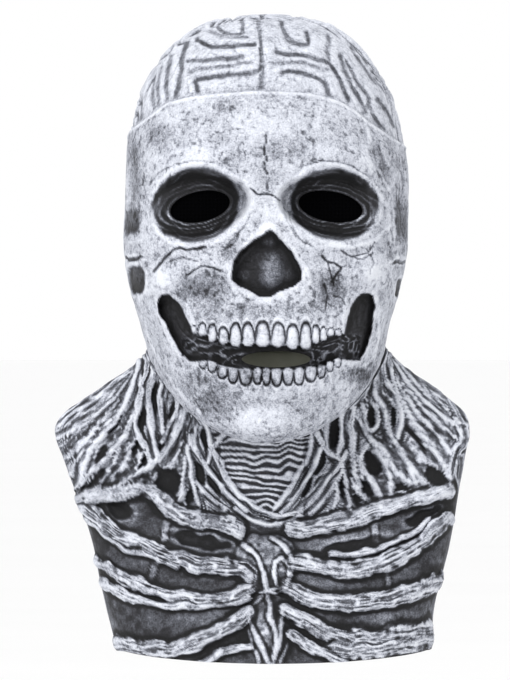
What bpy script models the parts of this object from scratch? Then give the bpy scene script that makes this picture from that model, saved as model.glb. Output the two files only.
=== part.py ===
"""Full-overhead skull mask: one hollow latex skin with gauze behind the eye holes."""

import math

import bpy
import bmesh
import numpy as np

# Drawn plan: across and down are read on a front view with one step of PLAN millimetres.
PLAN = 0.66
CENTRE = 266.0
CROWN = 12.0
MM = 0.001

# Skin
WALL = 2.4
BESIDE = 1.6
FRONT_COLUMNS = 30
BACK_COLUMNS = 8
COLUMN_CROWDING = 0.48

# Holes, in plan steps: across, down, half across, half down, tilt in degrees
EYE_HOLES = ((200.5, 207.5, 30.0, 15.0, -12.0), (330.0, 207.5, 32.0, 15.0, 10.0))
EYE_FLOOR = 82.0
EYE_LAND = (16.0, 9.0)
EYE_LAND_FADE = 7.0
MOUTH_HOLE = (276.0, 359.0, 34.0, 8.0, 0.0)
HOLE_CORNERS = 28
# The holes are cut straight back between these two places before and behind the face, in mm
HOLE_NEAR = -130.0
HOLE_FAR = -40.0

# Side slits that let the bib lie on a chest and a back
SLIT_FRONT = -8.0
SLIT_BACK = 58.0
SLIT_TOP = 452.0
SLIT_END = 700.0
SLIT_REACH = 200.0
ARCH_CORNERS = 12

# Gauze behind each eye hole
GAUZE_THICKNESS = 0.8
GAUZE_MARGIN = 2.0
GAUZE_GAP = 0.3

# The skin's rings from crown to hem. front, side, back: how far down the ring lies there, and
# half, lean: its half width and its sideways shift, in plan steps. fore, aft: reach of the ring
# in front of and behind the head's axis, mid: its widest place behind the axis, in mm.
# square: 2 is an ellipse, more is boxier. steps: rows from here to the next ring.
RINGS = (
    # front, side,  back,  half,  lean,  fore,  aft,   mid,  square, steps
    (12.6, 12.6, 12.6, 20.0, 1.0, 13.5, 14.5, 0.0, 2.0, 1),
    (15.0, 15.0, 15.0, 42.0, 1.0, 29.0, 31.0, 0.0, 2.0, 1),
    (22.0, 22.0, 22.0, 65.0, 0.5, 47.0, 51.0, 0.0, 2.0, 1),
    (34.0, 34.0, 34.0, 84.0, 0.0, 62.0, 66.0, 0.0, 2.05, 1),
    (50.0, 50.0, 50.0, 101.5, -1.0, 76.0, 81.0, 0.0, 2.1, 1),
    (70.0, 70.0, 70.0, 115.0, -1.0, 86.5, 92.5, 0.0, 2.15, 1),
    (92.0, 92.0, 92.0, 127.0, -0.5, 94.5, 101.0, 0.0, 2.2, 2),
    (115.0, 115.0, 115.0, 134.0, 0.0, 99.5, 107.0, 0.0, 2.25, 2),
    (140.0, 138.0, 138.0, 138.0, 0.0, 104.0, 111.0, 0.0, 2.35, 2),
    (160.0, 155.0, 157.0, 140.0, 0.5, 107.0, 112.5, 0.0, 2.45, 2),
    (180.0, 170.0, 175.0, 141.5, 1.0, 107.5, 112.5, 0.0, 2.5, 3),
    (206.0, 190.0, 197.0, 142.5, 1.0, 105.5, 111.0, 0.0, 2.5, 3),
    (232.0, 209.0, 218.0, 143.0, 1.0, 106.0, 108.0, 0.0, 2.5, 3),
    (258.0, 228.0, 238.0, 143.5, 0.0, 106.5, 104.0, 0.0, 2.45, 3),
    (284.0, 246.0, 258.0, 143.0, 0.0, 107.0, 99.0, 0.0, 2.4, 3),
    (310.0, 264.0, 277.0, 141.0, -0.5, 108.0, 93.0, 0.0, 2.35, 3),
    (334.0, 281.0, 294.0, 138.0, -1.0, 108.5, 87.3, 1.0, 2.3, 2),
    (348.0, 290.5, 302.5, 135.7, -1.0, 108.0, 84.7, 1.5, 2.28, 1),
    (356.0, 295.5, 307.5, 134.0, -1.0, 107.7, 83.0, 1.8, 2.26, 1),
    (365.0, 301.0, 313.0, 132.0, -1.0, 107.3, 81.3, 2.2, 2.24, 1),
    (373.0, 306.0, 317.5, 130.6, -1.0, 107.0, 80.0, 2.5, 2.23, 2),
    (390.0, 316.5, 326.5, 127.0, -1.0, 106.0, 77.5, 3.1, 2.2, 2),
    (412.0, 328.0, 336.0, 124.0, -1.0, 105.0, 75.0, 4.0, 2.15, 2),
    (432.0, 338.0, 345.0, 121.5, 0.0, 102.0, 73.0, 5.0, 2.1, 1),
    (441.0, 343.0, 350.0, 120.5, 0.0, 95.0, 72.0, 6.0, 2.1, 1),
    (442.0, 345.0, 352.0, 119.5, 0.5, 82.0, 72.0, 7.0, 2.1, 1),
    (438.0, 347.0, 355.0, 119.5, 1.0, 68.0, 72.0, 8.0, 2.1, 1),
    (438.0, 350.0, 359.0, 121.0, 1.5, 56.0, 72.5, 9.0, 2.1, 1),
    (450.0, 356.0, 367.0, 125.0, 3.0, 50.0, 74.0, 10.0, 2.1, 2),
    (470.0, 368.0, 382.0, 139.0, 2.5, 48.0, 78.0, 11.0, 2.0, 2),
    (490.0, 384.0, 398.0, 163.0, 2.0, 49.0, 83.0, 11.0, 1.9, 2),
    (508.0, 400.0, 415.0, 185.0, 1.0, 53.0, 88.0, 10.0, 1.85, 2),
    (524.0, 415.0, 432.0, 203.0, -2.0, 59.0, 92.0, 8.0, 1.85, 2),
    (538.0, 432.0, 448.0, 208.5, -3.5, 65.0, 95.0, 4.0, 1.95, 1),
    (550.0, 452.0, 466.0, 203.5, -2.5, 70.0, 98.0, 0.0, 2.1, 2),
    (568.0, 484.0, 496.0, 194.5, 0.5, 76.0, 101.0, -4.0, 2.2, 2),
    (586.0, 516.0, 528.0, 186.0, 4.0, 81.0, 103.0, -7.0, 2.3, 2),
    (604.0, 548.0, 560.0, 178.5, 5.0, 85.0, 105.0, -9.0, 2.35, 2),
    (622.0, 580.0, 592.0, 171.0, 4.5, 88.0, 106.0, -10.0, 2.4, 2),
    (641.0, 613.0, 624.0, 163.5, 4.5, 90.5, 107.0, -11.0, 2.4, 2),
    (661.0, 648.0, 656.0, 158.0, 8.0, 92.5, 108.0, -12.0, 2.4, 0),
)
CHIN_RING = 25
SAG_POWER = 1.4

# Round hollows. across, down, half across, half down: their rims, tilt in degrees, floor: how
# far the floor lies in front of the axis at the hollow's centre, slope: how much less it does
# for each millimetre outwards, in mm, soft: width of the sloping wall as a share of the rim.
SOCKETS = (
    (196.0, 206.0, 46.0, 38.5, -12.0, 82.0, 0.30, 0.55),
    (334.5, 206.0, 46.0, 37.5, 9.0, 82.0, 0.30, 0.55),
)

# Swellings and dips: across, down, half across, half down, tilt in degrees, height in mm
SWELLINGS = (
    (192.0, 160.0, 52.0, 15.0, -12.0, 4.5),
    (345.0, 160.0, 52.0, 15.0, 12.0, 4.5),
    (268.0, 205.0, 20.0, 30.0, 0.0, -1.5),
    (269.0, 236.0, 15.0, 14.0, 0.0, 5.0),
    (163.0, 280.0, 26.0, 24.0, -30.0, 6.5),
    (374.0, 272.0, 26.0, 24.0, 30.0, 6.5),
    (268.0, 334.0, 84.0, 30.0, 0.0, 3.5),
    (266.0, 380.0, 74.0, 26.0, 0.0, 3.5),
    (266.0, 424.0, 46.0, 24.0, 0.0, 4.5),
    (212.0, 290.0, 26.0, 26.0, 0.0, -3.0),
    (326.0, 290.0, 26.0, 26.0, 0.0, -3.0),
    (132.0, 180.0, 26.0, 52.0, 8.0, -4.0),
    (398.0, 185.0, 22.0, 56.0, -8.0, -6.0),
    (265.0, 562.0, 34.0, 34.0, 0.0, 5.0),
    (267.0, 628.0, 28.0, 44.0, 0.0, 5.0),
)

# Hollows read across at each height: down, left edge, right edge
NOSE = (
    (228, 266, 278), (236, 260, 282), (243, 251, 284), (252, 240, 292), (262, 233, 298),
    (272, 231, 302), (280, 231, 303), (286, 238, 294), (292, 249, 280), (299, 260, 270),
)
LEFT_CHEEK = (
    (297, 159, 174), (306, 161, 181), (314, 165, 186), (326, 172, 189), (338, 177, 197),
    (350, 183, 204), (360, 190, 214),
)
RIGHT_CHEEK = (
    (296, 352, 372), (305, 350, 372), (318, 347, 371), (330, 345, 369), (344, 343, 364),
    (356, 345, 361), (364, 349, 358),
)
NOSE_DEPTH = 11.0
CHEEK_DEPTH = 9.0
HOLLOW_SOFT = 13.0

# The gap between the teeth, read down at each place: across, top edge, bottom edge
MOUTH = (
    (182, 342, 348), (194, 338, 357), (206, 342, 364), (225, 347, 368), (246, 350, 369),
    (268, 351, 369), (292, 351, 369), (312, 350, 368), (330, 343, 366), (346, 338, 362),
)
MOUTH_DEPTH = 11.0
MOUTH_SOFT = 8.0

# Raised bones and sinews: radius, height in mm, then the line along the front as plan points
BONES = (
    (10.0, 6.0, ((76, 497), (110, 489), (140, 489), (168, 503), (200, 517), (238, 524))),
    (10.0, 6.0, ((444, 492), (400, 494), (378, 503), (350, 516), (320, 523), (292, 525))),
    (10.0, 5.0, ((84, 510), (112, 532), (140, 551), (175, 556), (210, 566), (242, 571))),
    (10.0, 5.0, ((444, 520), (420, 545), (385, 560), (350, 567), (320, 572), (292, 570))),
    (9.0, 5.0, ((94, 566), (130, 584), (165, 597), (200, 601), (232, 598), (250, 590))),
    (9.0, 5.0, ((440, 572), (400, 592), (362, 604), (330, 603), (300, 598), (284, 590))),
    (10.0, 5.0, ((116, 648), (150, 650), (190, 646), (222, 630), (248, 606))),
    (10.0, 5.0, ((432, 638), (400, 648), (362, 652), (335, 640), (310, 622), (288, 606))),
    (7.0, 3.5, ((150, 352), (146, 390), (120, 425), (78, 462))),
    (7.0, 3.5, ((166, 380), (160, 420), (138, 455), (104, 484))),
    (7.0, 3.5, ((180, 402), (176, 440), (176, 480), (196, 505))),
    (7.0, 3.5, ((206, 432), (212, 470), (226, 500), (244, 520))),
    (7.0, 3.5, ((388, 352), (394, 388), (424, 420), (458, 446))),
    (7.0, 3.5, ((374, 382), (384, 420), (404, 452), (432, 478))),
    (7.0, 3.5, ((352, 408), (356, 440), (360, 475), (352, 505))),
    (7.0, 3.5, ((326, 432), (322, 470), (306, 500), (290, 520))),
)
WINDPIPE_HALF = 42.0
WINDPIPE_DOWN = (440.0, 520.0)
WINDPIPE_HEIGHT = 6.0

# Brain dome: the skull's edge over the forehead, its level behind, how far it stands proud of
# the brain, and how far down from the edge that step has faded out
RIM_LINE = (
    (112, 152), (122, 142), (130, 132), (145, 120), (168, 104), (193, 98.5), (220, 96), (254, 93.5),
    (283, 94), (311, 96), (338, 103), (353, 111), (369, 124), (388, 136), (407, 147), (416, 152),
)
RIM_BACK = 152.0
RIM_TURN = 40.0
RIM_STEP = 2.2
RIM_FADE = 60.0
FISSURE = (262.0, 5.5, 3.0)


def to_linear(code):
    """Turn an sRGB hex colour into linear RGBA."""
    parts = [int(code[i:i + 2], 16) / 255.0 for i in (1, 3, 5)]
    lin = [p / 12.92 if p <= 0.04045 else ((p + 0.055) / 1.055) ** 2.4 for p in parts]
    return (*lin, 1.0)


def make_material(name, code, roughness):
    mat = bpy.data.materials.new(name)
    mat.use_nodes = True
    shader = mat.node_tree.nodes["Principled BSDF"]
    shader.inputs["Base Color"].default_value = to_linear(code)
    shader.inputs["Roughness"].default_value = roughness
    shader.inputs["Metallic"].default_value = 0.0
    mat.diffuse_color = to_linear(code)
    return mat


def ease(value, low, high):
    """Smooth step from 0 at low to 1 at high."""
    t = np.clip((value - low) / (high - low), 0.0, 1.0)
    return t * t * (3.0 - 2.0 * t)


def mound(distance):
    """Rounded hill: 1 in the middle and 0 from distance 1 on."""
    return np.clip(1.0 - distance * distance, 0.0, None) ** 1.5


def oval(across, down, row):
    """Distance from the middle of a tilted oval, 1 on its rim."""
    centre_across, centre_down, half_across, half_down, tilt = row[:5]
    turn = math.radians(tilt)
    u = across - centre_across
    v = down - centre_down
    along = (u * math.cos(turn) + v * math.sin(turn)) / half_across
    over = (v * math.cos(turn) - u * math.sin(turn)) / half_down
    return np.hypot(along, over)


def line_distance(across, down, points):
    """Distance in plan steps from a line through points."""
    best = np.full(np.shape(across), 1e9)
    for (x0, y0), (x1, y1) in zip(points[:-1], points[1:]):
        dx, dy = x1 - x0, y1 - y0
        share = ((across - x0) * dx + (down - y0) * dy) / (dx * dx + dy * dy)
        share = np.clip(share, 0.0, 1.0)
        best = np.minimum(best, np.hypot(across - x0 - share * dx, down - y0 - share * dy))
    return best


def between(value, place, rows, soft):
    """1 inside a hollow whose two edges are listed at each place, easing over soft steps."""
    table = np.array(rows, dtype=float)
    low = np.interp(place, table[:, 0], table[:, 1])
    high = np.interp(place, table[:, 0], table[:, 2])
    inside = np.minimum(value - low, high - value)
    ends = np.minimum(place - table[0, 0], table[-1, 0] - place)
    return ease(np.minimum(inside, ends), 0.0, soft)


def ring_values(position):
    """Ring columns at fractional ring positions, on a smooth curve through the table."""
    table = np.array(RINGS, dtype=float)[:, :9]
    slope = np.gradient(table, axis=0)
    index = np.clip(position.astype(int), 0, len(table) - 2)
    t = (position - index)[:, None]
    h00 = 2 * t ** 3 - 3 * t ** 2 + 1
    h10 = t ** 3 - 2 * t ** 2 + t
    h01 = 3 * t ** 2 - 2 * t ** 3
    h11 = t ** 3 - t ** 2
    low, high = table[index], table[index + 1]
    return h00 * low + h10 * slope[index] + h01 * high + h11 * slope[index + 1]


def ring_positions():
    """Where the mesh rows lie between the table's rings."""
    places = []
    for index, ring in enumerate(RINGS):
        steps = ring[9]
        for step in range(max(steps, 1)):
            places.append(index + step / max(steps, 1))
    return np.array(places)


def column_angles():
    """Angles around the head: 0 at its right side, a quarter turn at the face."""
    share = np.arange(FRONT_COLUMNS) / FRONT_COLUMNS
    crowd = COLUMN_CROWDING / math.tau
    front = math.pi * (share + crowd * np.sin(math.tau * share))
    back = math.pi + math.pi * np.arange(BACK_COLUMNS) / BACK_COLUMNS
    return np.concatenate([front, back])


def base_surface(position, angle):
    """Points of the plain form, in mm: across from the axis, back and up."""
    rows = ring_values(position)
    front, side, back, half, lean, fore, aft, mid, square = (c[:, None] for c in rows.T)
    cosine = np.cos(angle)[None, :]
    sine = np.sin(angle)[None, :]
    is_front = sine > 0.0
    power = 2.0 / square
    x = (lean + half * np.sign(cosine) * np.abs(cosine) ** power) * PLAN
    swing = np.abs(sine) ** power
    y = np.where(is_front, mid - (fore + mid) * swing, mid + (aft - mid) * swing)
    pull = np.sqrt(np.clip(1.0 - (x / PLAN - lean) ** 2 / half ** 2, 0.0, 1.0)) ** SAG_POWER
    down = side + np.where(is_front, front - side, back - side) * pull
    z = WALL - (down - CROWN) * PLAN
    return np.stack([x, y, np.broadcast_to(z, x.shape)], axis=-1)


def grid_normals(points):
    """Outward normals of a closed ring grid."""
    around = np.roll(points, -1, axis=1) - np.roll(points, 1, axis=1)
    along = np.gradient(points, axis=0)
    normal = np.cross(around, along)
    normal /= np.maximum(np.linalg.norm(normal, axis=-1, keepdims=True), 1e-9)
    return normal


def rim_edge(across, y):
    """How far down the skull's edge lies, in front and round the back."""
    rim = np.array(RIM_LINE, dtype=float)
    front = np.interp(across, rim[:, 0], rim[:, 1])
    return front + (RIM_BACK - front) * ease(y, 0.0, RIM_TURN)


def relief(x, y, z, facing, position):
    """Height of the relief over the plain form, in mm, and how much of it is flat land."""
    across = CENTRE + x / PLAN
    down = CROWN + (WALL - z) / PLAN
    front = ease(facing, 0.02, 0.3)
    skull = front * ease(CHIN_RING + 0.5 - position, 0.0, 0.8)
    lower = front * ease(position - CHIN_RING - 1.0, 0.0, 0.8)
    height = np.zeros(np.shape(x))
    for row in SWELLINGS:
        part = skull if row[1] < 440.0 else lower
        height += part * row[5] * mound(oval(across, down, row))
    for radius, rise, points in BONES:
        reach = line_distance(across, down, points) / radius
        height += lower * rise * mound(reach)
    pipe = np.sqrt(np.clip(1.0 - ((across - 262.0) / WINDPIPE_HALF) ** 2, 0.0, 1.0))
    top, bottom = WINDPIPE_DOWN
    height += lower * WINDPIPE_HEIGHT * pipe * ease(bottom - down, -4.0, 14.0)
    height -= skull * NOSE_DEPTH * between(across, down, NOSE, HOLLOW_SOFT)
    height -= skull * CHEEK_DEPTH * between(across, down, LEFT_CHEEK, HOLLOW_SOFT)
    height -= skull * CHEEK_DEPTH * between(across, down, RIGHT_CHEEK, HOLLOW_SOFT)
    height -= skull * MOUTH_DEPTH * between(down, across, MOUTH, MOUTH_SOFT)
    under = down - rim_edge(across, y)
    height += RIM_STEP * ease(under, 0.0, 6.0) * (1.0 - ease(under, 10.0, RIM_FADE))
    middle, width, depth = FISSURE
    groove = ease(-under, 4.0, 12.0) * ease(down, 13.0, 24.0)
    height -= depth * mound((across - middle) / width) * groove
    for row in SOCKETS:
        rim_share = oval(across, down, row)
        outward = np.abs(x) - abs(row[0] - CENTRE) * PLAN
        floor = row[5] - row[6] * outward
        sunk = floor + y
        weight = skull * ease(1.0 - rim_share, 0.0, row[7])
        height += weight * np.minimum(sunk - height, 0.0)
    land = np.zeros(np.shape(x))
    for row in EYE_HOLES:
        wide = row[2] + EYE_LAND[0] + EYE_LAND_FADE
        tall = row[3] + EYE_LAND[1] + EYE_LAND_FADE
        grown = (row[0], row[1], wide, tall, row[4])
        fade = EYE_LAND_FADE / tall
        weight = skull * ease(1.0 - oval(across, down, grown), 0.0, fade)
        land = np.maximum(land, weight)
    height += land * (EYE_FLOOR + y - height)
    return height, land


def skin_points(position, angle):
    """Outer and inner points of the skin, in mm."""
    base = base_surface(position, angle)
    normal = grid_normals(base)
    facing = -normal[..., 1]
    straight = ease(facing, 0.05, 0.4)[..., None]
    push = normal * (1.0 - straight) + np.array([0.0, -1.0, 0.0]) * straight
    push /= np.linalg.norm(push, axis=-1, keepdims=True)
    place = np.broadcast_to(position[:, None], facing.shape)
    x, y, z = base[..., 0], base[..., 1], base[..., 2]
    height, land = relief(x, y, z, facing, place)
    lowest = height.copy()
    for dx, dz in ((BESIDE, 0.0), (-BESIDE, 0.0), (0.0, BESIDE), (0.0, -BESIDE)):
        beside, _ = relief(x + dx, y, z + dz, facing, place)
        lowest = np.minimum(lowest, beside)
    slant = np.clip(np.sum(normal * push, axis=-1), 0.5, 1.0)
    depth = WALL * ((1.0 - land) / slant + land)
    outer = base + push * height[..., None]
    inner = base + push * (lowest - depth)[..., None]
    return outer, inner


def add_object(name, bm, material):
    bmesh.ops.recalc_face_normals(bm, faces=bm.faces[:])
    mesh = bpy.data.meshes.new(name)
    bm.to_mesh(mesh)
    bm.free()
    mesh.materials.append(material)
    obj = bpy.data.objects.new(name, mesh)
    bpy.context.scene.collection.objects.link(obj)
    return obj


def add_skin_layer(bm, points, pole):
    """One layer of the skin as rows of quads under a cap of triangles."""
    rows, columns = points.shape[:2]
    verts = [[bm.verts.new(p * MM) for p in row] for row in points]
    top = bm.verts.new(np.array(pole) * MM)
    for c in range(columns):
        following = (c + 1) % columns
        bm.faces.new((top, verts[0][c], verts[0][following]))
        for r in range(rows - 1):
            bm.faces.new((verts[r][c], verts[r + 1][c],
                          verts[r + 1][following], verts[r][following]))
    return verts[-1]


def make_skin(material):
    outer, inner = skin_points(ring_positions(), column_angles())
    bm = bmesh.new()
    pole_across = RINGS[0][4] * PLAN
    outer_hem = add_skin_layer(bm, outer, (pole_across, 0.0, WALL))
    inner_hem = add_skin_layer(bm, inner, (pole_across, 0.0, 0.0))
    for c in range(len(outer_hem)):
        following = (c + 1) % len(outer_hem)
        bm.faces.new((outer_hem[c], inner_hem[c], inner_hem[following], outer_hem[following]))
    bmesh.ops.recalc_face_normals(bm, faces=bm.faces[:])
    bmesh.ops.triangulate(bm, faces=bm.faces[:], quad_method="SHORT_EDGE")
    return add_object("mask_skin", bm, material)


def oval_points(row, margin):
    """Corners of an oval hole in mm, grown by a margin."""
    across, down, half_across, half_down, tilt = row
    turn = math.radians(tilt)
    points = []
    for corner in range(HOLE_CORNERS):
        angle = math.tau * corner / HOLE_CORNERS
        u = (half_across * PLAN + margin) * math.cos(angle)
        v = (half_down * PLAN + margin) * math.sin(angle)
        x = (across - CENTRE) * PLAN + u * math.cos(turn) - v * math.sin(turn)
        z = WALL - (down - CROWN) * PLAN - u * math.sin(turn) - v * math.cos(turn)
        points.append((x, z))
    return points


def add_prism(bm, points, near, far, axis):
    """Closed prism over an outline, from near to far along y, or along x for axis 0."""
    rings = []
    for depth in (near, far):
        ring = []
        for a, b in points:
            place = (a, depth, b) if axis == 1 else (depth, a, b)
            ring.append(bm.verts.new([value * MM for value in place]))
        rings.append(ring)
    count = len(points)
    for i in range(count):
        j = (i + 1) % count
        bm.faces.new((rings[0][i], rings[0][j], rings[1][j], rings[1][i]))
    bm.faces.new(rings[0])
    bm.faces.new(rings[1])


def slit_points():
    """Round-topped outline of the side slits, back and up, in mm."""
    middle = (SLIT_FRONT + SLIT_BACK) / 2.0
    radius = (SLIT_BACK - SLIT_FRONT) / 2.0
    top = WALL - (SLIT_TOP - CROWN) * PLAN - radius
    hem = WALL - (SLIT_END - CROWN) * PLAN
    points = [(SLIT_BACK, hem)]
    for corner in range(ARCH_CORNERS + 1):
        angle = math.pi * corner / ARCH_CORNERS
        points.append((middle + radius * math.cos(angle), top + radius * math.sin(angle)))
    points.append((SLIT_FRONT, hem))
    return points


def cut(target, cutter_mesh):
    cutter = add_object("cutter", cutter_mesh, target.data.materials[0])
    modifier = target.modifiers.new("cut", "BOOLEAN")
    modifier.operation = "DIFFERENCE"
    modifier.solver = "EXACT"
    modifier.object = cutter
    bpy.context.view_layer.objects.active = target
    bpy.ops.object.modifier_apply(modifier=modifier.name)
    bpy.data.objects.remove(cutter, do_unlink=True)


def cut_holes(skin):
    for row in EYE_HOLES:
        bm = bmesh.new()
        add_prism(bm, oval_points(row, 0.0), HOLE_NEAR, HOLE_FAR, 1)
        cut(skin, bm)
    bm = bmesh.new()
    add_prism(bm, oval_points(MOUTH_HOLE, 0.0), HOLE_NEAR, HOLE_FAR, 1)
    cut(skin, bm)
    bm = bmesh.new()
    add_prism(bm, slit_points(), -SLIT_REACH, SLIT_REACH, 0)
    cut(skin, bm)


def make_gauze(name, row, material):
    near = -EYE_FLOOR + WALL + GAUZE_GAP
    bm = bmesh.new()
    add_prism(bm, oval_points(row, GAUZE_MARGIN), near, near + GAUZE_THICKNESS, 1)
    return add_object(name, bm, material)


def clear_scene():
    for obj in list(bpy.data.objects):
        bpy.data.objects.remove(obj, do_unlink=True)


def main():
    clear_scene()
    latex = make_material("dry_brushed_latex", "#8E9198", 0.62)
    gauze = make_material("black_gauze", "#0B0B0C", 0.9)
    cut_holes(make_skin(latex))
    make_gauze("eye_mesh_left", EYE_HOLES[0], gauze)
    make_gauze("eye_mesh_right", EYE_HOLES[1], gauze)


main()
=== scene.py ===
"""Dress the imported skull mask: fine latex relief, dry-brushed paint, gauze, stage and camera."""

import math

import bpy
import numpy as np
from bpy.props import FloatProperty, FloatVectorProperty, IntProperty, PointerProperty
from bpy.types import Operator, Panel, PropertyGroup
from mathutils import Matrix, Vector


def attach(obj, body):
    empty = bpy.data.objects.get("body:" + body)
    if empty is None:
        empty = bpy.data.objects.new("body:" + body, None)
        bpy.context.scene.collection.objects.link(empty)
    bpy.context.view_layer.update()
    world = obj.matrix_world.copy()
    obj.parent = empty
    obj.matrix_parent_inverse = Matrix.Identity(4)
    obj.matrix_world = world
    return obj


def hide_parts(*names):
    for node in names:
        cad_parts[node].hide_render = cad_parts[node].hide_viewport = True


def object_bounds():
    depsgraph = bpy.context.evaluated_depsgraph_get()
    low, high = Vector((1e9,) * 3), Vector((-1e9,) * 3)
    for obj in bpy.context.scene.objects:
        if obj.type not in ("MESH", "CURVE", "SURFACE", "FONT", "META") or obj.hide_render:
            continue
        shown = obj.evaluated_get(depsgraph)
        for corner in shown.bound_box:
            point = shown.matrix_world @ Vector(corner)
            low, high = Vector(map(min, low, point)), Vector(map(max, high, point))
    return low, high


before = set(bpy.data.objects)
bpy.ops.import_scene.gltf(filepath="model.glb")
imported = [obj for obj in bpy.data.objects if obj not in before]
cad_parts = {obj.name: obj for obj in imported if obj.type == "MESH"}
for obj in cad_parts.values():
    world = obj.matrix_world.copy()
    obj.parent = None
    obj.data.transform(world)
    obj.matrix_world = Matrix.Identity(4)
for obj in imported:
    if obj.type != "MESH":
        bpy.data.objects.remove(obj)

bl_info = {
    "name": "Skull Mask Dresser",
    "version": (1, 0, 0),
    "blender": (4, 5, 0),
    "location": "View3D > Sidebar > Skull Mask",
    "description": "Builds the painted latex skull mask over its packed frame",
    "category": "Object",
}

CAD_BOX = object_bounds()

# Plan: places are read on a front view whose step is PLAN millimetres
PLAN = 0.66
CENTRE = 266.0
CROWN = 12.0
MM = 0.001
WALL = 2.4

# Mesh density: columns must divide by INNER_STEP
FRONT_COLUMNS = 252
BACK_COLUMNS = 72
INNER_STEP = 4
INNER_REACH = 4
ROW_SPACING = 0.96
COLUMN_CROWDING = 0.48

EYE_HOLES = ((200.5, 207.5, 30.0, 15.0, -12.0), (330.0, 207.5, 32.0, 15.0, 10.0))
EYE_FLOOR = 82.0
EYE_LAND = (16.0, 9.0)
EYE_LAND_FADE = 7.0
MOUTH_HOLE = (276.0, 359.0, 34.0, 8.0, 0.0)
CUT_NEAR = -130.0
CUT_FAR = -40.0
SLIT_FRONT = -8.0
SLIT_BACK = 58.0
SLIT_TOP = 452.0
GAUZE_MARGIN = 2.0
GAUZE_GAP = 0.3
GAUZE_THICKNESS = 0.8
THREAD_SPACING = 0.0009
FLOOR_SIZE = 400.0
SENSOR_WIDTH = 36.0
CLIP_END = 500.0

# Studio lamps: name, place, size and watts, all aimed at LAMP_TARGET
LAMPS = (
    ("key", (-1.6, -2.6, 1.6), (1.2, 1.2), 62.0),
    ("fill", (2.2, -2.4, 0.4), (2.0, 2.0), 8.0),
    ("top", (0.0, -0.6, 2.4), (1.6, 1.6), 24.0),
)
LAMP_TARGET = (0.0, 0.0, -0.2)

# The skin's rings. front, side, back, half, lean in plan steps; fore, aft, mid in mm.
RINGS = (
    # front, side,  back,  half,  lean,  fore,  aft,   mid,  square
    (12.6, 12.6, 12.6, 20, 1, 13.5, 14.5, 0, 2),
    (15, 15, 15, 42, 1, 29, 31, 0, 2),
    (22, 22, 22, 65, 0.5, 47, 51, 0, 2),
    (34, 34, 34, 84, 0, 62, 66, 0, 2.05),
    (50, 50, 50, 101.5, -1, 76, 81, 0, 2.1),
    (70, 70, 70, 115, -1, 86.5, 92.5, 0, 2.15),
    (92, 92, 92, 127, -0.5, 94.5, 101, 0, 2.2),
    (115, 115, 115, 134, 0, 99.5, 107, 0, 2.25),
    (140, 138, 138, 138, 0, 104, 111, 0, 2.35),
    (160, 155, 157, 140, 0.5, 107, 112.5, 0, 2.45),
    (180, 170, 175, 141.5, 1, 107.5, 112.5, 0, 2.5),
    (206, 190, 197, 142.5, 1, 105.5, 111, 0, 2.5),
    (232, 209, 218, 143, 1, 106, 108, 0, 2.5),
    (258, 228, 238, 143.5, 0, 106.5, 104, 0, 2.45),
    (284, 246, 258, 143, 0, 107, 99, 0, 2.4),
    (310, 264, 277, 141, -0.5, 108, 93, 0, 2.35),
    (334, 281, 294, 138, -1, 108.5, 87.3, 1, 2.3),
    (348, 290.5, 302.5, 135.7, -1, 108, 84.7, 1.5, 2.28),
    (356, 295.5, 307.5, 134, -1, 107.7, 83, 1.8, 2.26),
    (365, 301, 313, 132, -1, 107.3, 81.3, 2.2, 2.24),
    (373, 306, 317.5, 130.6, -1, 107, 80, 2.5, 2.23),
    (390, 316.5, 326.5, 127, -1, 106, 77.5, 3.1, 2.2),
    (412, 328, 336, 124, -1, 105, 75, 4, 2.15),
    (432, 338, 345, 121.5, 0, 102, 73, 5, 2.1),
    (441, 343, 350, 120.5, 0, 95, 72, 6, 2.1),
    (442, 345, 352, 119.5, 0.5, 82, 72, 7, 2.1),
    (438, 347, 355, 119.5, 1, 68, 72, 8, 2.1),
    (438, 350, 359, 121, 1.5, 56, 72.5, 9, 2.1),
    (450, 356, 367, 125, 3, 50, 74, 10, 2.1),
    (470, 368, 382, 139, 2.5, 48, 78, 11, 2),
    (490, 384, 398, 163, 2, 49, 83, 11, 1.9),
    (508, 400, 415, 185, 1, 53, 88, 10, 1.85),
    (524, 415, 432, 203, -2, 59, 92, 8, 1.85),
    (538, 432, 448, 208.5, -3.5, 65, 95, 4, 1.95),
    (550, 452, 466, 203.5, -2.5, 70, 98, 0, 2.1),
    (568, 484, 496, 194.5, 0.5, 76, 101, -4, 2.2),
    (586, 516, 528, 186, 4, 81, 103, -7, 2.3),
    (604, 548, 560, 178.5, 5, 85, 105, -9, 2.35),
    (622, 580, 592, 171, 4.5, 88, 106, -10, 2.4),
    (641, 613, 624, 163.5, 4.5, 90.5, 107, -11, 2.4),
    (661, 648, 656, 158, 8, 92.5, 108, -12, 2.4),
)
RIM_RING = 7.4
BROW_RING = 11
CHIN_RING = 25
HEM_RING = len(RINGS) - 1
SAG_POWER = 1.4

# Skull edge over the forehead, then level round the back of the head
RIM_LINE = (
    (112, 152), (122, 142), (130, 132), (145, 120), (168, 104), (193, 98.5), (220, 96), (254, 93.5),
    (283, 94), (311, 96), (338, 103), (353, 111), (369, 124), (388, 136), (407, 147), (416, 152),
)
RIM_BACK = 152.0
RIM_TURN = 40.0
RIM_STEP = 2.2
RIM_FADE = 60.0

SOCKETS = (
    (196, 206, 46, 38.5, -12, 82, 0.30, 0.42),
    (334.5, 206, 46, 37.5, 9, 82, 0.30, 0.42),
)

# Lighter places inside the sockets: across, down, half across, half down, tilt, how light
LIDS = (
    (203, 185, 25, 6.5, -5, 0.26),
    (324, 187, 27, 6.5, 7, 0.26),
    (372, 222, 8, 15, 25, 0.42),
    (240, 206, 4, 12, 15, 0.20),
)

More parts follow.
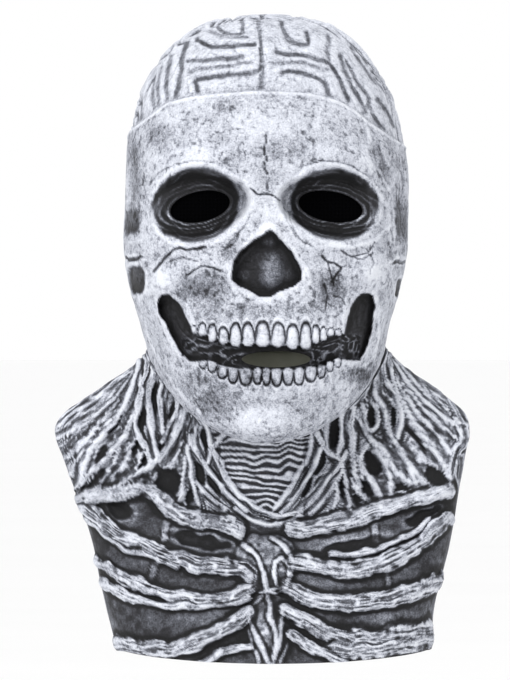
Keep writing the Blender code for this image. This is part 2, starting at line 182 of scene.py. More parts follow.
# Swellings and dips: across, down, half across, half down, tilt in degrees, height in mm
SWELLINGS = (
    (192, 160, 52, 15, -12, 4.5),
    (345, 160, 52, 15, 12, 4.5),
    (268, 205, 20, 30, 0, -1.5),
    (269, 236, 15, 14, 0, 5),
    (163, 280, 26, 24, -30, 6.5),
    (374, 272, 26, 24, 30, 6.5),
    (268, 334, 84, 30, 0, 3.5),
    (266, 380, 74, 26, 0, 3.5),
    (266, 424, 46, 24, 0, 4.5),
    (212, 290, 26, 26, 0, -3),
    (326, 290, 26, 26, 0, -3),
    (132, 180, 26, 52, 8, -4),
    (398, 185, 22, 56, -8, -6),
    (265, 562, 34, 34, 0, 5),
    (267, 628, 28, 44, 0, 5),
)

HEAD_END = 440.0

NOSE = (
    (230, 268, 269), (236, 261, 277), (243, 251, 284), (252, 240, 292), (262, 233, 298),
    (272, 231, 302), (280, 231, 303), (286, 238, 294), (292, 249, 280), (299, 260, 270),
)
LEFT_CHEEK = (
    (294, 165, 168), (296, 161, 173), (299, 158, 177), (304, 157, 181), (312, 159, 186), (324, 165, 191),
    (338, 172, 198), (350, 179, 208), (362, 190, 216),
)
RIGHT_CHEEK = (
    (293, 362, 369), (296, 356, 373), (305, 350, 375), (318, 346, 374), (330, 343, 372), (344, 341, 368),
    (356, 342, 363), (361, 346, 359),
)
# Forms inside the nose: across, down, half across, half down, tilt
SEPTUM = (271.0, 272.0, 15.0, 22.0, 0.0)
NOSE_LOBES = ((244.0, 276.0, 8.0, 8.0, 20.0), (289.0, 276.0, 8.0, 9.0, -20.0))
NOSE_RIDGE = (272.0, 268.0, 21.0, 32.0, 0.0)
NOSE_DEPTH = 11.0
CHEEK_DEPTH = 9.0
HOLLOW_SOFT = 3.0
MOUTH = (
    (182, 339, 357), (190, 334, 355), (197, 332, 354), (204, 333, 358), (213, 337, 362),
    (225, 341, 367), (246, 343, 370), (268, 343.5, 370), (292, 345, 370), (304, 345, 370),
    (312, 340, 369), (322, 336, 367), (330, 333, 364), (342, 333, 360), (360, 335, 361),
)
MOUTH_DEPTH = 11.0
MOUTH_SOFT = 2.0

# Teeth: across, width, gum line, biting edge
UPPER_TEETH = (
    (193.7, 7, 326, 333.5), (202.8, 8.5, 324, 336), (212.8, 9, 325, 341.5),
    (223.9, 10, 328, 344), (235.7, 11.5, 324.4, 346.5), (248.2, 12.5, 324.4, 346.5),
    (262.5, 14, 323, 347), (278, 14, 324, 347), (292.2, 13, 326, 349),
    (305.2, 11.5, 323.6, 349.5), (315.1, 8, 326, 343.5), (322.6, 7, 327, 340.5),
    (330, 7, 328, 336), (337.4, 7.5, 329, 336),
)
LOWER_TEETH = (
    (203.8, 8.5, 359, 368), (212.6, 9, 361, 371.5), (223, 10, 366, 378),
    (233.4, 10.5, 367.5, 382), (246, 13, 367.5, 384), (257.5, 9, 367.5, 383),
    (266.2, 8.5, 367.5, 384), (276.2, 11, 367.5, 385), (287.6, 11, 367.5, 384),
    (298.6, 11, 367, 384), (310.3, 11.5, 366, 381), (320.6, 8.5, 365, 377),
    (329.3, 8, 361, 371), (337, 7.5, 358, 367),
)
TOOTH_RISE = 2.0

# Grooves between the folds of the brain, seen from the front: how deep, then the line
FOLDS = (
    (1, ((198, 40), (209, 47), (218, 48), (235, 47), (254, 45.5))),
    (0.9, ((188, 63), (210, 61), (227, 60), (243, 59))),
    (1, ((260.6, 50), (261.6, 59), (260.6, 71), (254, 74.6), (235, 77.5), (216, 78.4),
           (198, 82), (196.5, 88), (198, 96))),
    (0.55, ((191, 74), (200, 70), (216, 69), (235, 66), (252, 64))),
    (0.9, ((187, 43), (183, 55.5), (182, 69), (179, 84), (176, 99.5))),
    (0.8, ((171, 55.5), (169, 67), (167, 86), (168, 104))),
    (0.7, ((161, 67), (158, 86), (160, 107))),
    (0.7, ((154, 76.5), (153.5, 92), (155, 112))),
    (0.7, ((142, 96), (140, 109), (141, 121.5))),
    (0.8, ((240.5, 14), (242.4, 25), (242.4, 34), (235, 36), (225, 34), (217.6, 27))),
    (0.6, ((204, 30), (216, 33.5), (227, 38), (246, 39))),
    (0.6, ((183, 35), (193, 29), (206, 21), (223, 14))),
    (0.8, ((259, 13), (259, 18), (260, 34), (261.6, 50), (262, 66), (260.6, 91))),
    (1, ((280, 21), (284, 32.5), (288, 41), (298, 45), (308, 45), (306.5, 34))),
    (1, ((277, 53.6), (286, 56), (302, 57), (319, 62), (328.5, 66), (340, 82), (348, 103))),
    (1, ((281, 74), (292, 74), (306, 76.5), (320, 82), (326, 90), (328, 98))),
    (0.5, ((273, 65), (292, 64), (311, 67), (327, 72))),
    (0.6, ((327, 36), (328.5, 50), (328.5, 63))),
    (0.9, ((340, 55.5), (344, 71), (351.5, 88), (361, 105), (365, 113))),
    (0.8, ((346, 63), (355, 82), (365, 94), (369, 103), (361, 117))),
    (0.8, ((351.5, 48), (361, 65), (374, 80), (388, 92))),
    (0.7, ((342, 34), (355, 44), (369, 57))),
    (0.8, ((369, 107), (376, 122), (384, 132))),
    (0.8, ((376, 99.5), (388, 115), (395.5, 126))),
)
FOLD_RADIUS = 6.0
FOLD_DEPTH = 2.6
FOLD_CROWDING = 1.5

# Cracks and creases of the skull: radius in plan steps, depth in mm, then the line
CRACKS = (
    (1.5, 1.1, ((267, 134), (264, 155), (267, 159), (264, 169), (268, 176), (266, 194))),
    (1.8, 1.3, ((250, 190), (258, 196), (266, 195), (273, 198), (279, 202))),
    (1.9, 1.4, ((154, 272), (164, 261), (175, 250), (191, 250), (206, 248))),
    (1.6, 1, ((189, 276), (200, 268), (212, 268), (221, 272))),
    (1.5, 0.8, ((170, 262), (184, 258), (198, 262))),
    (1.9, 1.2, ((322, 257), (327, 263), (332, 264), (340, 268), (336, 274), (331, 282))),
    (1.5, 0.9, ((340, 251), (350, 257), (361, 255), (369, 251), (374, 242))),
    (1.5, 0.9, ((326, 262), (330, 274), (333, 286))),
    (1.4, 0.8, ((324, 284), (326, 298), (324, 312))),
    (1.4, 0.7, ((366, 250), (372, 262), (369, 275))),
    (1.5, 0.8, ((352, 256), (360, 260), (372, 254))),
    (1.4, 0.7, ((288, 214), (292, 228), (300, 240), (312, 248))),
    (1.4, 0.7, ((283, 210), (288, 224), (296, 238))),
    (1.4, 0.6, ((228, 246), (236, 238), (246, 226), (250, 214))),
    (1.4, 0.6, ((222, 252), (232, 246), (240, 236))),
    (1.3, 0.6, ((150, 186), (158, 176), (170, 168), (190, 163), (212, 164))),
    (1.3, 0.5, ((300, 168), (322, 163), (346, 166), (366, 176))),
    (1.3, 0.5, ((176, 316), (182, 330), (196, 343))),
    (1.3, 0.5, ((332, 296), (342, 300), (346, 312))),
)

# Raised lines of the skull: radius, height in mm, line
SKULL_RIDGES = (
    (3, 0.9, ((152, 200), (160, 184), (176, 170), (196, 166), (216, 168), (234, 178))),
    (3, 0.9, ((294, 184), (308, 170), (330, 166), (354, 172), (376, 190), (386, 206))),
    (3, 0.9, ((154, 226), (168, 242), (190, 248), (216, 244), (236, 232))),
    (3, 0.9, ((300, 228), (320, 242), (346, 248), (372, 242), (390, 226))),
    (2.2, 0.8, ((364, 118), (368, 138), (372, 158), (380, 176), (390, 192))),
    (2.6, 0.9, ((122, 257), (134, 256), (150, 262))),
    (2.6, 0.9, ((410, 258), (400, 257), (390, 262))),
    (2.2, 1, ((157, 300), (160, 316), (170, 340), (182, 358))),
    (2.2, 1, ((376, 298), (378, 330), (374, 356), (364, 366))),
    (2.4, 0.8, ((186, 304), (194, 322), (198, 336))),
    (2.4, 0.8, ((346, 300), (343, 320), (344, 336))),
    (3, 0.9, ((254, 246), (242, 258), (233, 270), (230, 282), (236, 292))),
    (3, 0.9, ((284, 246), (296, 258), (306, 270), (309, 282), (302, 294))),
    (2.6, 0.8, ((138, 300), (146, 330), (160, 362), (176, 388), (200, 412))),
    (2.6, 0.8, ((396, 300), (392, 330), (382, 362), (368, 384), (346, 406))),
    (1.8, 0.6, ((362, 366), (372, 372), (364, 388), (350, 404))),
)

# Dark places of the head, partly dark paint and partly painted shade on the sides of the head and along
# the jaw: across, down, half across, half down, tilt, how dark
DARK_PAINT_AND_SHADE = (
    (396, 178, 14, 40, -8, 0.05),
    (128, 150, 12, 24, 0, 0.16),
    (132, 190, 16, 40, 0, 0.14),
    (226, 108, 10, 8, 0, 0.16),
    (160, 138, 16, 14, 0, 0.16),
    (208, 284, 34, 18, 12, 0.19),
    (330, 292, 18, 20, 0, 0.22),
    (232, 252, 14, 12, -45, 0.20),
    (205, 395, 30, 16, 35, 0.20),
    (356, 374, 14, 10, 0, 0.25),
    (290, 152, 34, 12, 0, 0.10),
    (266, 316, 82, 18, 0, 0.13),
    (268, 374, 80, 14, 0, 0.17),
    (268, 404, 74, 34, 0, 0.06),
    (374, 390, 22, 44, 25, 0.26),
    (196, 302, 30, 22, 0, 0.15),
)
# Boxy sunk places at the temples and cheek arches: across, down, half across, half down, tilt,
# depth in mm, how dark at the far end, softness
TEMPLES = (
    (131, 222, 11, 12, 0, 1.6, 0.46, 0.70),
    (134.5, 279.5, 10, 14, 5, 2.6, 0.64, 0.22),
    (133, 258.5, 11, 2.2, 2, 1, 0.52, 0.40),
    (378, 160, 6, 17, -20, 2.4, 0.26, 0.85),
    (403, 217, 8, 24, 0, 2, 0.44, 0.80),
    (399.5, 288, 3.6, 9, 12, 1.6, 0.60, 0.30),
    (400, 262, 9, 2, -8, 0.8, 0.30, 0.40),
)
# Light places of the head, partly pale paint and partly painted highlights on the forehead and chin,
# listed the same way as the dark places above
PALE_PAINT_AND_HIGHLIGHTS = (
    (245, 130, 44, 18, 0, 0.12),
    (163, 279, 13, 12, 0, 0.20),
    (268, 214, 14, 18, 0, 0.14),
    (269, 228, 12, 7, 0, 0.22),
    (372, 276, 14, 14, 0, 0.22),
    (265, 418, 32, 20, 0, 0.12),
    (186, 168, 34, 8, -20, 0.14),
    (330, 246, 40, 6, 0, 0.18),
)

# Bones of the bib: radius, height in mm, then the middle line
BONES = (
    (8, 6, ((80, 500), (108, 495), (136, 489), (151, 492), (166, 506), (185, 516),
                (207, 520), (229, 524), (237, 528))),
    (10, 6.6, ((226, 524), (238, 529))),
    (8, 6, ((448, 492), (440, 494), (416, 500), (395, 505), (372, 511), (343, 521),
                (306, 530), (292, 528))),
    (8.5, 5.2, ((82, 505), (98, 518), (119, 535), (142, 543), (163, 554), (182, 558),
                (199, 563), (236, 566), (249, 573))),
    (4, 4, ((86, 516), (104, 532), (126, 549), (150, 553), (176, 566))),
    (8.5, 5.2, ((297, 561), (322, 565), (348, 570), (372, 564), (394, 556), (413, 546),
                (432, 532), (446, 518))),
    (3.6, 3.6, ((429, 520), (396, 540), (360, 552), (330, 553))),
    (6.5, 5, ((92, 559), (119, 573), (142, 584), (166, 592), (189, 595), (214, 598),
                (236, 595), (249, 587))),
    (4.6, 4.2, ((97, 580), (122, 592), (142, 599), (166, 604), (192, 604), (221, 600), (248, 595))),
    (8.5, 5.2, ((288, 586), (306, 595), (328, 599), (357, 601), (387, 598), (416, 591), (445, 578))),
    (8.5, 5.2, ((113, 644), (141, 647), (163, 647), (185, 643), (207, 634), (229, 624), (246, 611))),
    (7.5, 5.2, ((286, 607), (296, 614), (313, 624), (330, 632), (350, 637))),
    (14.5, 5.6, ((344, 643), (360, 644), (379, 643), (401, 639), (422, 637))),
    (4.6, 3.6, ((196, 666), (221, 650), (251, 643))),
    (5, 3.8, ((290, 630), (306, 642), (326, 652), (346, 661))),
)
# Faint struts that cross the gaps: radius, height in mm, line
STRUTS = (
    (5, 1, ((169, 516), (164, 538))),
    (5, 1, ((157, 560), (150, 580))),
    (5, 1, ((372, 514), (376, 542))),
    (4, 1, ((384, 562), (388, 586))),
)
# Line of the collarbones, below which the neck has no fibres: across, down
COLLAR_LINE = (
    (60, 500), (80, 498), (108, 494), (136, 490), (151, 493), (166, 506), (185, 516), (207, 520),
    (237, 527), (292, 527), (343, 521), (395, 505), (440, 494), (470, 490),
)
BREASTBONE = (
    (236, 545), (243, 537), (262, 533), (284, 534), (296, 550), (296, 566), (288, 588),
    (266, 593), (250, 588), (240, 570), (236, 545),
)
BREASTBONE_BODY = (267.0, 630.0, 24.0, 46.0, 0.0)
# Cords over the breastbone: radius, height in mm, line
CORDS = (
    (3, 1.6, ((240, 541), (254, 552), (262, 570), (266, 590))),
    (3, 1.6, ((272, 536), (284, 545), (292, 560), (288, 580), (278, 590))),
    (2.4, 1.3, ((276, 560), (273, 574), (278, 586), (286, 582), (288, 566), (283, 556), (276, 560))),
    (3.4, 2.2, ((242, 600), (252, 622), (262, 646), (269, 662))),
    (3, 2, ((266, 590), (270, 612), (275, 632), (274, 656))),
    (3.4, 2.2, ((283, 600), (280, 624), (276, 648), (272, 662))),
    (3.4, 2.2, ((298, 612), (290, 636), (281, 660))),
    (3, 2, ((246, 596), (258, 594), (268, 590), (280, 594), (292, 598))),
    (2.8, 1.8, ((252, 602), (260, 596), (264, 590))),
    (2.8, 1.8, ((240, 586), (254, 592), (266, 590), (280, 586), (294, 590))),
    (2.6, 1.4, ((245, 618), (254, 640), (258, 660))),
)

# Sinews of the neck: radius, height in mm, line
SINEWS = (
    (4.2, 3.2, ((146, 352), (146, 371), (138, 395), (135, 420), (138, 438), (145, 447), (150, 463))),
    (4.4, 3.4, ((154, 366), (149, 386), (148, 406), (153, 433), (159, 455))),
    (3.6, 3, ((160, 366), (163, 374), (160, 390), (160, 411), (163, 430))),
    (4, 3, ((176, 386), (179, 395), (176, 411), (168, 430), (163, 440))),
    (6, 3.8, ((190, 402), (181, 423), (171, 443), (163, 455), (146, 469), (123, 484), (108, 490))),
    (4.6, 3.2, ((140, 362), (133, 380), (123, 406), (106, 430), (90, 448), (83, 469), (77, 488))),
    (4.6, 3.2, ((142, 378), (139, 401), (126, 433), (110, 454), (90, 473), (79, 490))),
    (3, 2.4, ((120, 450), (113, 463), (103, 481), (95, 494))),
    (3.6, 2.8, ((189, 446), (190, 466), (194, 486), (198, 504))),
    (3.2, 2.6, ((187, 456), (184, 468), (183, 486), (179, 500))),
    (4.2, 3.2, ((192, 436), (194, 446), (206, 468), (219, 483), (232, 497), (246, 509))),
    (3.2, 2.6, ((196, 482), (209, 496), (224, 507))),
    (3.4, 2.8, ((198, 412), (203, 420), (208, 433), (211, 447), (222, 462))),
    (4, 3, ((222, 434), (219, 440), (209, 463))),
    (4.2, 3.2, ((212, 450), (218, 460), (227, 478), (242, 496), (264, 511), (279, 516), (299, 512))),
    (3.6, 2.6, ((236, 508), (250, 518), (266, 524), (284, 522), (300, 514))),
    (2.6, 1.8, ((134, 440), (126, 456), (116, 474), (104, 490))),
    (2.6, 1.8, ((146, 446), (138, 462), (132, 476), (124, 484))),
    (2.6, 1.6, ((133, 372), (112, 400), (88, 420), (66, 436))),
    (2.4, 1.4, ((128, 372), (98, 396), (74, 412), (58, 426))),
    (2.6, 1.6, ((118, 400), (96, 428), (78, 446), (68, 458))),
    (2.6, 1.6, ((110, 420), (88, 444), (76, 462), (72, 476))),
    (4.4, 3.2, ((384, 352), (387, 380), (398, 393), (415, 423), (431, 444), (446, 468))),
    (4.2, 3.2, ((389, 356), (392, 370), (401, 404), (404, 420), (399, 437))),
    (4.6, 3.4, ((380, 360), (377, 392), (384, 412), (392, 436), (406, 461), (416, 482))),
    (3.6, 2.6, ((368, 362), (373, 372), (361, 393), (350, 407))),
    (4.8, 3.4, ((356, 410), (364, 429), (372, 439), (384, 452), (393, 468), (409, 483))),
    (3.4, 2.6, ((364, 404), (364, 420), (367, 430), (374, 430), (378, 420), (376, 404))),
    (4.4, 3.2, ((344, 408), (342, 417), (342, 439), (339, 455))),
    (4.8, 3.4, ((354, 408), (353, 417), (352, 452), (355, 473), (360, 488))),
    (4.6, 3.4, ((316, 434), (329, 452), (342, 461), (339, 479), (326, 496), (310, 513))),
    (3.8, 2.8, ((312, 430), (309, 455), (297, 476), (285, 494), (276, 506))),
    (3.8, 2.8, ((320, 448), (318, 456), (310, 476), (293, 500), (282, 512))),
    (5, 3.6, ((346, 454), (329, 480), (312, 500), (296, 515))),
    (3.4, 2.6, ((344, 470), (348, 493), (350, 508))),
    (3.4, 2.6, ((338, 482), (338, 496), (334, 508))),
    (4, 3, ((356, 456), (361, 468), (372, 480), (380, 496))),
    (3.4, 2.6, ((352, 478), (356, 488), (368, 500))),
    (3.8, 2.8, ((368, 444), (362, 452), (358, 464), (361, 476))),
    (4.2, 3, ((374, 444), (378, 452), (388, 471), (393, 488))),
    (3.4, 2.4, ((400, 448), (404, 458), (424, 484))),
    (2.8, 1.8, ((394, 372), (410, 400), (428, 424), (446, 446), (452, 456))),
    (2.6, 1.6, ((390, 358), (418, 392), (444, 416), (462, 428))),
    (2.6, 1.6, ((404, 384), (426, 410), (448, 430), (460, 440))),
    (3.6, 2.2, ((456, 420), (463, 438), (454, 452), (450, 468), (451, 488))),
    (3, 2, ((330, 424), (326, 440), (330, 452))),
)

# Deep places between the sinews and under the collarbones
PITS = (
    (168, 482, 13, 15, 20, 3.4),
    (154.5, 398, 3.2, 17, 2, 2.6),
    (142, 419, 4.4, 14, 0, 2.6),
    (177, 432, 4, 14, 24, 2.8),
    (163, 448, 6, 5, 0, 2.6),
    (134, 449, 4, 10, 22, 2.4),
    (142, 463, 3.6, 9, 20, 2.4),
    (172, 411, 4, 11, 10, 2.4),
    (200, 474, 4.4, 13, -22, 2.8),
    (189, 496, 4.6, 9, 0, 2.6),
    (205, 440, 4, 14, -16, 2.8),
    (213, 484, 4, 12, -40, 2.4),
    (101, 455, 4.4, 12, 28, 2),
    (98, 478, 3.2, 15, 38, 2.2),
    (114, 424, 3.2, 18, 30, 1.8),
    (334, 430, 6, 20, 0, 3.4),
    (371, 418, 3.6, 10, 0, 3),
    (394, 418, 3.2, 9, 0, 3),
    (372, 464, 8, 14, -32, 3.4),
    (367, 489, 5, 12, -40, 3.2),
    (320, 463, 4.2, 13, 22, 3),
    (307, 488, 3.4, 13, 30, 2.6),
    (436, 478, 13, 9, 30, 2.6),
    (417, 440, 3, 20, -36, 2),
    (400, 488, 10, 4, 10, 2),
    (343, 490, 3, 12, 0, 2.6),
    (356, 500, 4, 6, 0, 2.4),
    (121, 509, 14, 9, 22, 3),
    (200, 540, 34, 8, 14, 2.6),
    (420, 516, 20, 6, -24, 3.2),
    (350, 545, 40, 7, -12, 2.2),
)

# Windpipe: its two edges at each height, then ring spacing and rise
WINDPIPE = (
    (430, 208, 318), (446, 214, 314), (462, 219, 309), (478, 227, 300), (492, 238, 290),
    (504, 250, 280), (514, 262, 270),
)
WINDPIPE_HALF = 42.0
WINDPIPE_DOWN = (440.0, 520.0)
WINDPIPE_HEIGHT = 6.0
PIPE_RING = 6.6
PIPE_RING_RISE = 1.5


def ease(value, low, high):
    """Smooth step from 0 at low to 1 at high."""
    t = np.clip((value - low) / (high - low), 0.0, 1.0)
    return t * t * (3.0 - 2.0 * t)


def mound(distance):
    """Rounded hill: 1 in the middle and 0 from distance 1 on."""
    return np.clip(1.0 - distance * distance, 0.0, None) ** 1.5


def oval(across, down, row):
    """Distance from the middle of a tilted oval, 1 on its rim."""
    turn = math.radians(row[4])
    u = across - row[0]
    v = down - row[1]
    along = (u * math.cos(turn) + v * math.sin(turn)) / row[2]
    over = (v * math.cos(turn) - u * math.sin(turn)) / row[3]
    return np.hypot(along, over)


def between(value, place, rows, soft):
    """1 inside a hollow whose two edges are listed at each place, easing over soft steps."""
    table = np.array(rows, dtype=float)
    low = np.interp(place, table[:, 0], table[:, 1])
    high = np.interp(place, table[:, 0], table[:, 2])
    inside = np.minimum(value - low, high - value)
    ends = np.minimum(place - table[0, 0], table[-1, 0] - place)
    return ease(np.minimum(inside, ends), 0.0, soft)


def nearest_line(across, down, rows, limit):
    """Share of the radius to the nearest line, the way along it, the side of it, its number."""
    reach = np.full(across.shape, float(limit))
    along, side, number = (np.zeros(across.shape) for _ in range(3))
    for index, (radius, _, points) in enumerate(rows):
        line = np.array(points, dtype=float)
        if len(line) > 2:
            line = smooth_line(line)
        low = line.min(axis=0) - radius * limit
        high = line.max(axis=0) + radius * limit
        near = (across > low[0]) & (across < high[0]) & (down > low[1]) & (down < high[1])
        x, y = across[near], down[near]
        best, way, flank, which = reach[near], along[near], side[near], number[near]
        travelled = 0.0
        for (x0, y0), (x1, y1) in zip(line[:-1], line[1:]):
            dx, dy = x1 - x0, y1 - y0
            length = math.hypot(dx, dy)
            share = np.clip(((x - x0) * dx + (y - y0) * dy) / length ** 2, 0.0, 1.0)
            px, py = x - x0 - share * dx, y - y0 - share * dy
            gap = np.hypot(px, py) / radius
            closer = gap < best
            best = np.where(closer, gap, best)
            way = np.where(closer, travelled + share * length, way)
            flank = np.where(closer, (dx * py - dy * px) / length, flank)
            which = np.where(closer, index, which)
            travelled += length
        reach[near], along[near], side[near], number[near] = best, way, flank, which
    return reach, along, side, number.astype(int)


def strand_noise(along, side, number, length, width, seed):
    """Thin ridges that run along a line: 1 on a crest and 0 between."""
    place = np.stack([along / length, side / width, number * 7.3], axis=-1)
    return 1.0 - np.clip(np.abs(lattice_noise(place, 1.0, seed)) * 2.6, 0.0, 1.0)


def curve_between(t, low, low_slope, high, high_slope):
    """Point at share t of a smooth curve between two points with given slopes."""
    return ((2 * t ** 3 - 3 * t ** 2 + 1) * low + (t ** 3 - 2 * t ** 2 + t) * low_slope
            + (3 * t ** 2 - 2 * t ** 3) * high + (t ** 3 - t ** 2) * high_slope)


def smooth_line(line, cuts=3):
    """Points of a smooth curve through the corners of a line."""
    slope = np.gradient(line, axis=0)
    points = []
    for index in range(len(line) - 1):
        for cut in range(cuts):
            points.append(curve_between(cut / cuts, line[index], slope[index],
                                        line[index + 1], slope[index + 1]))
    points.append(line[-1])
    return np.array(points)


def lattice_noise(points, size, seed):
    """Smooth noise from -1 to 1 whose lumps are size millimetres across."""
    place = points / size
    cell = np.floor(place).astype(np.int64)
    part = place - cell
    part = part * part * (3.0 - 2.0 * part)
    total = np.zeros(points.shape[:-1])
    for corner in range(8):
        offset = np.array([corner & 1, corner >> 1 & 1, corner >> 2 & 1])
        at = cell + offset
        mixed = at[..., 0] * 73856093 ^ at[..., 1] * 19349663 ^ at[..., 2] * 83492791
        mixed = (mixed ^ seed * 2654435761) & 0xFFFFFFFF
        mixed = (mixed ^ mixed >> 15) * 2246822519 & 0xFFFFFFFF
        mixed = (mixed ^ mixed >> 13) * 3266489917 & 0xFFFFFFFF
        value = ((mixed ^ mixed >> 16) & 0xFFFF) / 32767.5 - 1.0
        weight = np.prod(np.where(offset == 1, part, 1.0 - part), axis=-1)
        total += value * weight
    return total


def ring_values(position):
    """Ring columns at fractional ring positions, on a smooth curve through the table."""
    table = np.array(RINGS, dtype=float)
    slope = np.gradient(table, axis=0)
    index = np.clip(position.astype(int), 0, len(table) - 2)
    t = (position - index)[..., None]
    return curve_between(t, table[index], slope[index], table[index + 1], slope[index + 1])


def column_angles():
    """Angles around the head: 0 at its right side, a quarter turn at the face."""
    share = np.arange(FRONT_COLUMNS) / FRONT_COLUMNS
    crowd = COLUMN_CROWDING / math.tau
    front = math.pi * (share + crowd * np.sin(math.tau * share))
    back = math.pi + math.pi * np.arange(BACK_COLUMNS) / BACK_COLUMNS
    return np.concatenate([front, back])


def base_surface(position, angle):
    """Points of the plain form, in mm, for grids of ring positions and angles."""
    rows = np.moveaxis(ring_values(position), -1, 0)
    front, side, back, half, lean, fore, aft, mid, square = rows
    cosine, sine = np.cos(angle), np.sin(angle)
    is_front = sine > 0.0
    power = 2.0 / square
    x = (lean + half * np.sign(cosine) * np.abs(cosine) ** power) * PLAN
    swing = np.abs(sine) ** power
    y = np.where(is_front, mid - (fore + mid) * swing, mid + (aft - mid) * swing)
    pull = np.sqrt(np.clip(1.0 - (x / PLAN - lean) ** 2 / half ** 2, 0.0, 1.0)) ** SAG_POWER
    down = side + np.where(is_front, front - side, back - side) * pull
    z = WALL - (down - CROWN) * PLAN
    return np.stack([x, y, z], axis=-1)


def rim_edge(across, y):
    """How far down the skull's edge lies."""
    rim = np.array(RIM_LINE, dtype=float)
    front = np.interp(across, rim[:, 0], rim[:, 1])
    return front + (RIM_BACK - front) * ease(y, 0.0, RIM_TURN)


def rim_positions(angle):
    """Ring position at which each column meets the skull's edge."""
    steps = np.linspace(4.0, BROW_RING, 281)
    place, turn = np.meshgrid(steps, angle, indexing="ij")
    points = base_surface(place, turn)
    across = CENTRE + points[..., 0] / PLAN
    down = CROWN + (WALL - points[..., 2]) / PLAN
    over = down - rim_edge(across, points[..., 1])
    first = np.argmax(over > 0.0, axis=0)
    return steps[first]


def arc_rows(start, end):
    """Row positions between two ring positions, evenly spaced along the longest column."""
    probes = np.linspace(start, end, 60)
    place, turn = np.meshgrid(probes, np.linspace(0.2, math.tau - 0.2, 24), indexing="ij")
    points = base_surface(place, turn)
    lengths = np.linalg.norm(np.diff(points, axis=0), axis=-1)
    lengths[:, 12:] *= 0.5
    travel = np.concatenate([[0.0], np.cumsum(lengths.max(axis=1))])
    count = max(int(travel[-1] / ROW_SPACING), 4)
    return np.interp(np.linspace(0.0, travel[-1], count + 1), travel, probes)


def row_grid(angle):
    """Ring positions of every row and column, with rows that follow the skull's edge."""
    rim = rim_positions(angle)
    rim = (np.roll(rim, 1) + 2.0 * rim + np.roll(rim, -1)) / 4.0
    crown_rows = arc_rows(0.0, RIM_RING) / RIM_RING
    crown = crown_rows[:, None] * rim[None, :]
    brow = arc_rows(6.0, float(BROW_RING))
    share = (brow - brow[0]) / (brow[-1] - brow[0])
    upper = rim[None, :] + share[1:, None] * (BROW_RING - rim[None, :])
    face = arc_rows(float(BROW_RING), float(CHIN_RING))[1:]
    neck = arc_rows(float(CHIN_RING), float(HEM_RING))[1:]
    wide = np.ones((1, len(angle)))
    grid = np.concatenate([crown, upper, face[:, None] * wide, neck[:, None] * wide])
    rim_row = len(crown) - 1
    chin_row = rim_row + len(upper) + len(face)
    return grid, rim_row, chin_row


def grid_normals(points):
    """Outward normals of a closed ring grid."""
    around = np.roll(points, -1, axis=1) - np.roll(points, 1, axis=1)
    along = np.gradient(points, axis=0)
    normal = np.cross(around, along)
    normal /= np.maximum(np.linalg.norm(normal, axis=-1, keepdims=True), 1e-9)
    return normal


def blur(field, passes):
    """Soften a field on the closed ring grid."""
    out = field.copy()
    for _ in range(passes):
        out = (np.roll(out, 1, axis=1) + 2.0 * out + np.roll(out, -1, axis=1)) / 4.0
        padded = np.pad(out, ((1, 1), (0, 0)), mode="edge")
        out = (padded[:-2] + 2.0 * padded[1:-1] + padded[2:]) / 4.0
    return out


class Relief:
    """Height in mm and paint over every point of the outer skin, painted shade and highlights included.
    """

    def __init__(self, base, facing, place):
        self.base = base
        self.x, self.y, self.z = base[..., 0], base[..., 1], base[..., 2]
        self.across = CENTRE + self.x / PLAN
        self.down = CROWN + (WALL - self.z) / PLAN
        self.front = ease(facing, 0.02, 0.3)
        self.skull = self.front * ease(CHIN_RING + 0.5 - place, 0.0, 0.8)
        self.lower = self.front * ease(place - CHIN_RING - 1.0, 0.0, 0.8)
        self.is_head = ease(CHIN_RING + 0.8 - place, 0.0, 0.6)
        self.edge = rim_edge(self.across, self.y)
        self.brain = ease(self.edge - self.down, -0.2, 1.2)
        self.height = np.zeros(self.x.shape)
        self.brush = np.zeros(self.x.shape)
        self.teeth = np.zeros(self.x.shape)

    def bent(self, amount, size, seed):
        """Plan places shaken by noise, so that drawn lines come out uneven."""
        return (self.across + amount * lattice_noise(self.base, size, seed),
                self.down + amount * lattice_noise(self.base, size, seed + 1))

    def lines(self, rows, profile=mound):
        """Height of the nearest of the listed lines at every point."""
        across, down = self.bent(1.0, 4.0, 71)
        reach, _, _, number = nearest_line(across, down, rows, 1.0)
        rises = np.array([row[1] for row in rows])
        return rises[number] * profile(reach)


def shape_forms(relief):
    """Large forms that the solid has too."""
    across, down = relief.across, relief.down
    for row in SWELLINGS:
        part = relief.skull if row[1] < HEAD_END else relief.lower
        relief.height += part * row[5] * mound(oval(across, down, row))
    pipe = np.sqrt(np.clip(1.0 - ((across - 262.0) / WINDPIPE_HALF) ** 2, 0.0, 1.0))
    bottom = WINDPIPE_DOWN[1]
    relief.height += relief.lower * WINDPIPE_HEIGHT * pipe * ease(bottom - down, -4.0, 14.0)
    fade = 1.0 - ease(down - relief.edge, 10.0, RIM_FADE)
    relief.height += RIM_STEP * fade * (1.0 - relief.brain) * (0.25 + 0.75 * relief.front)


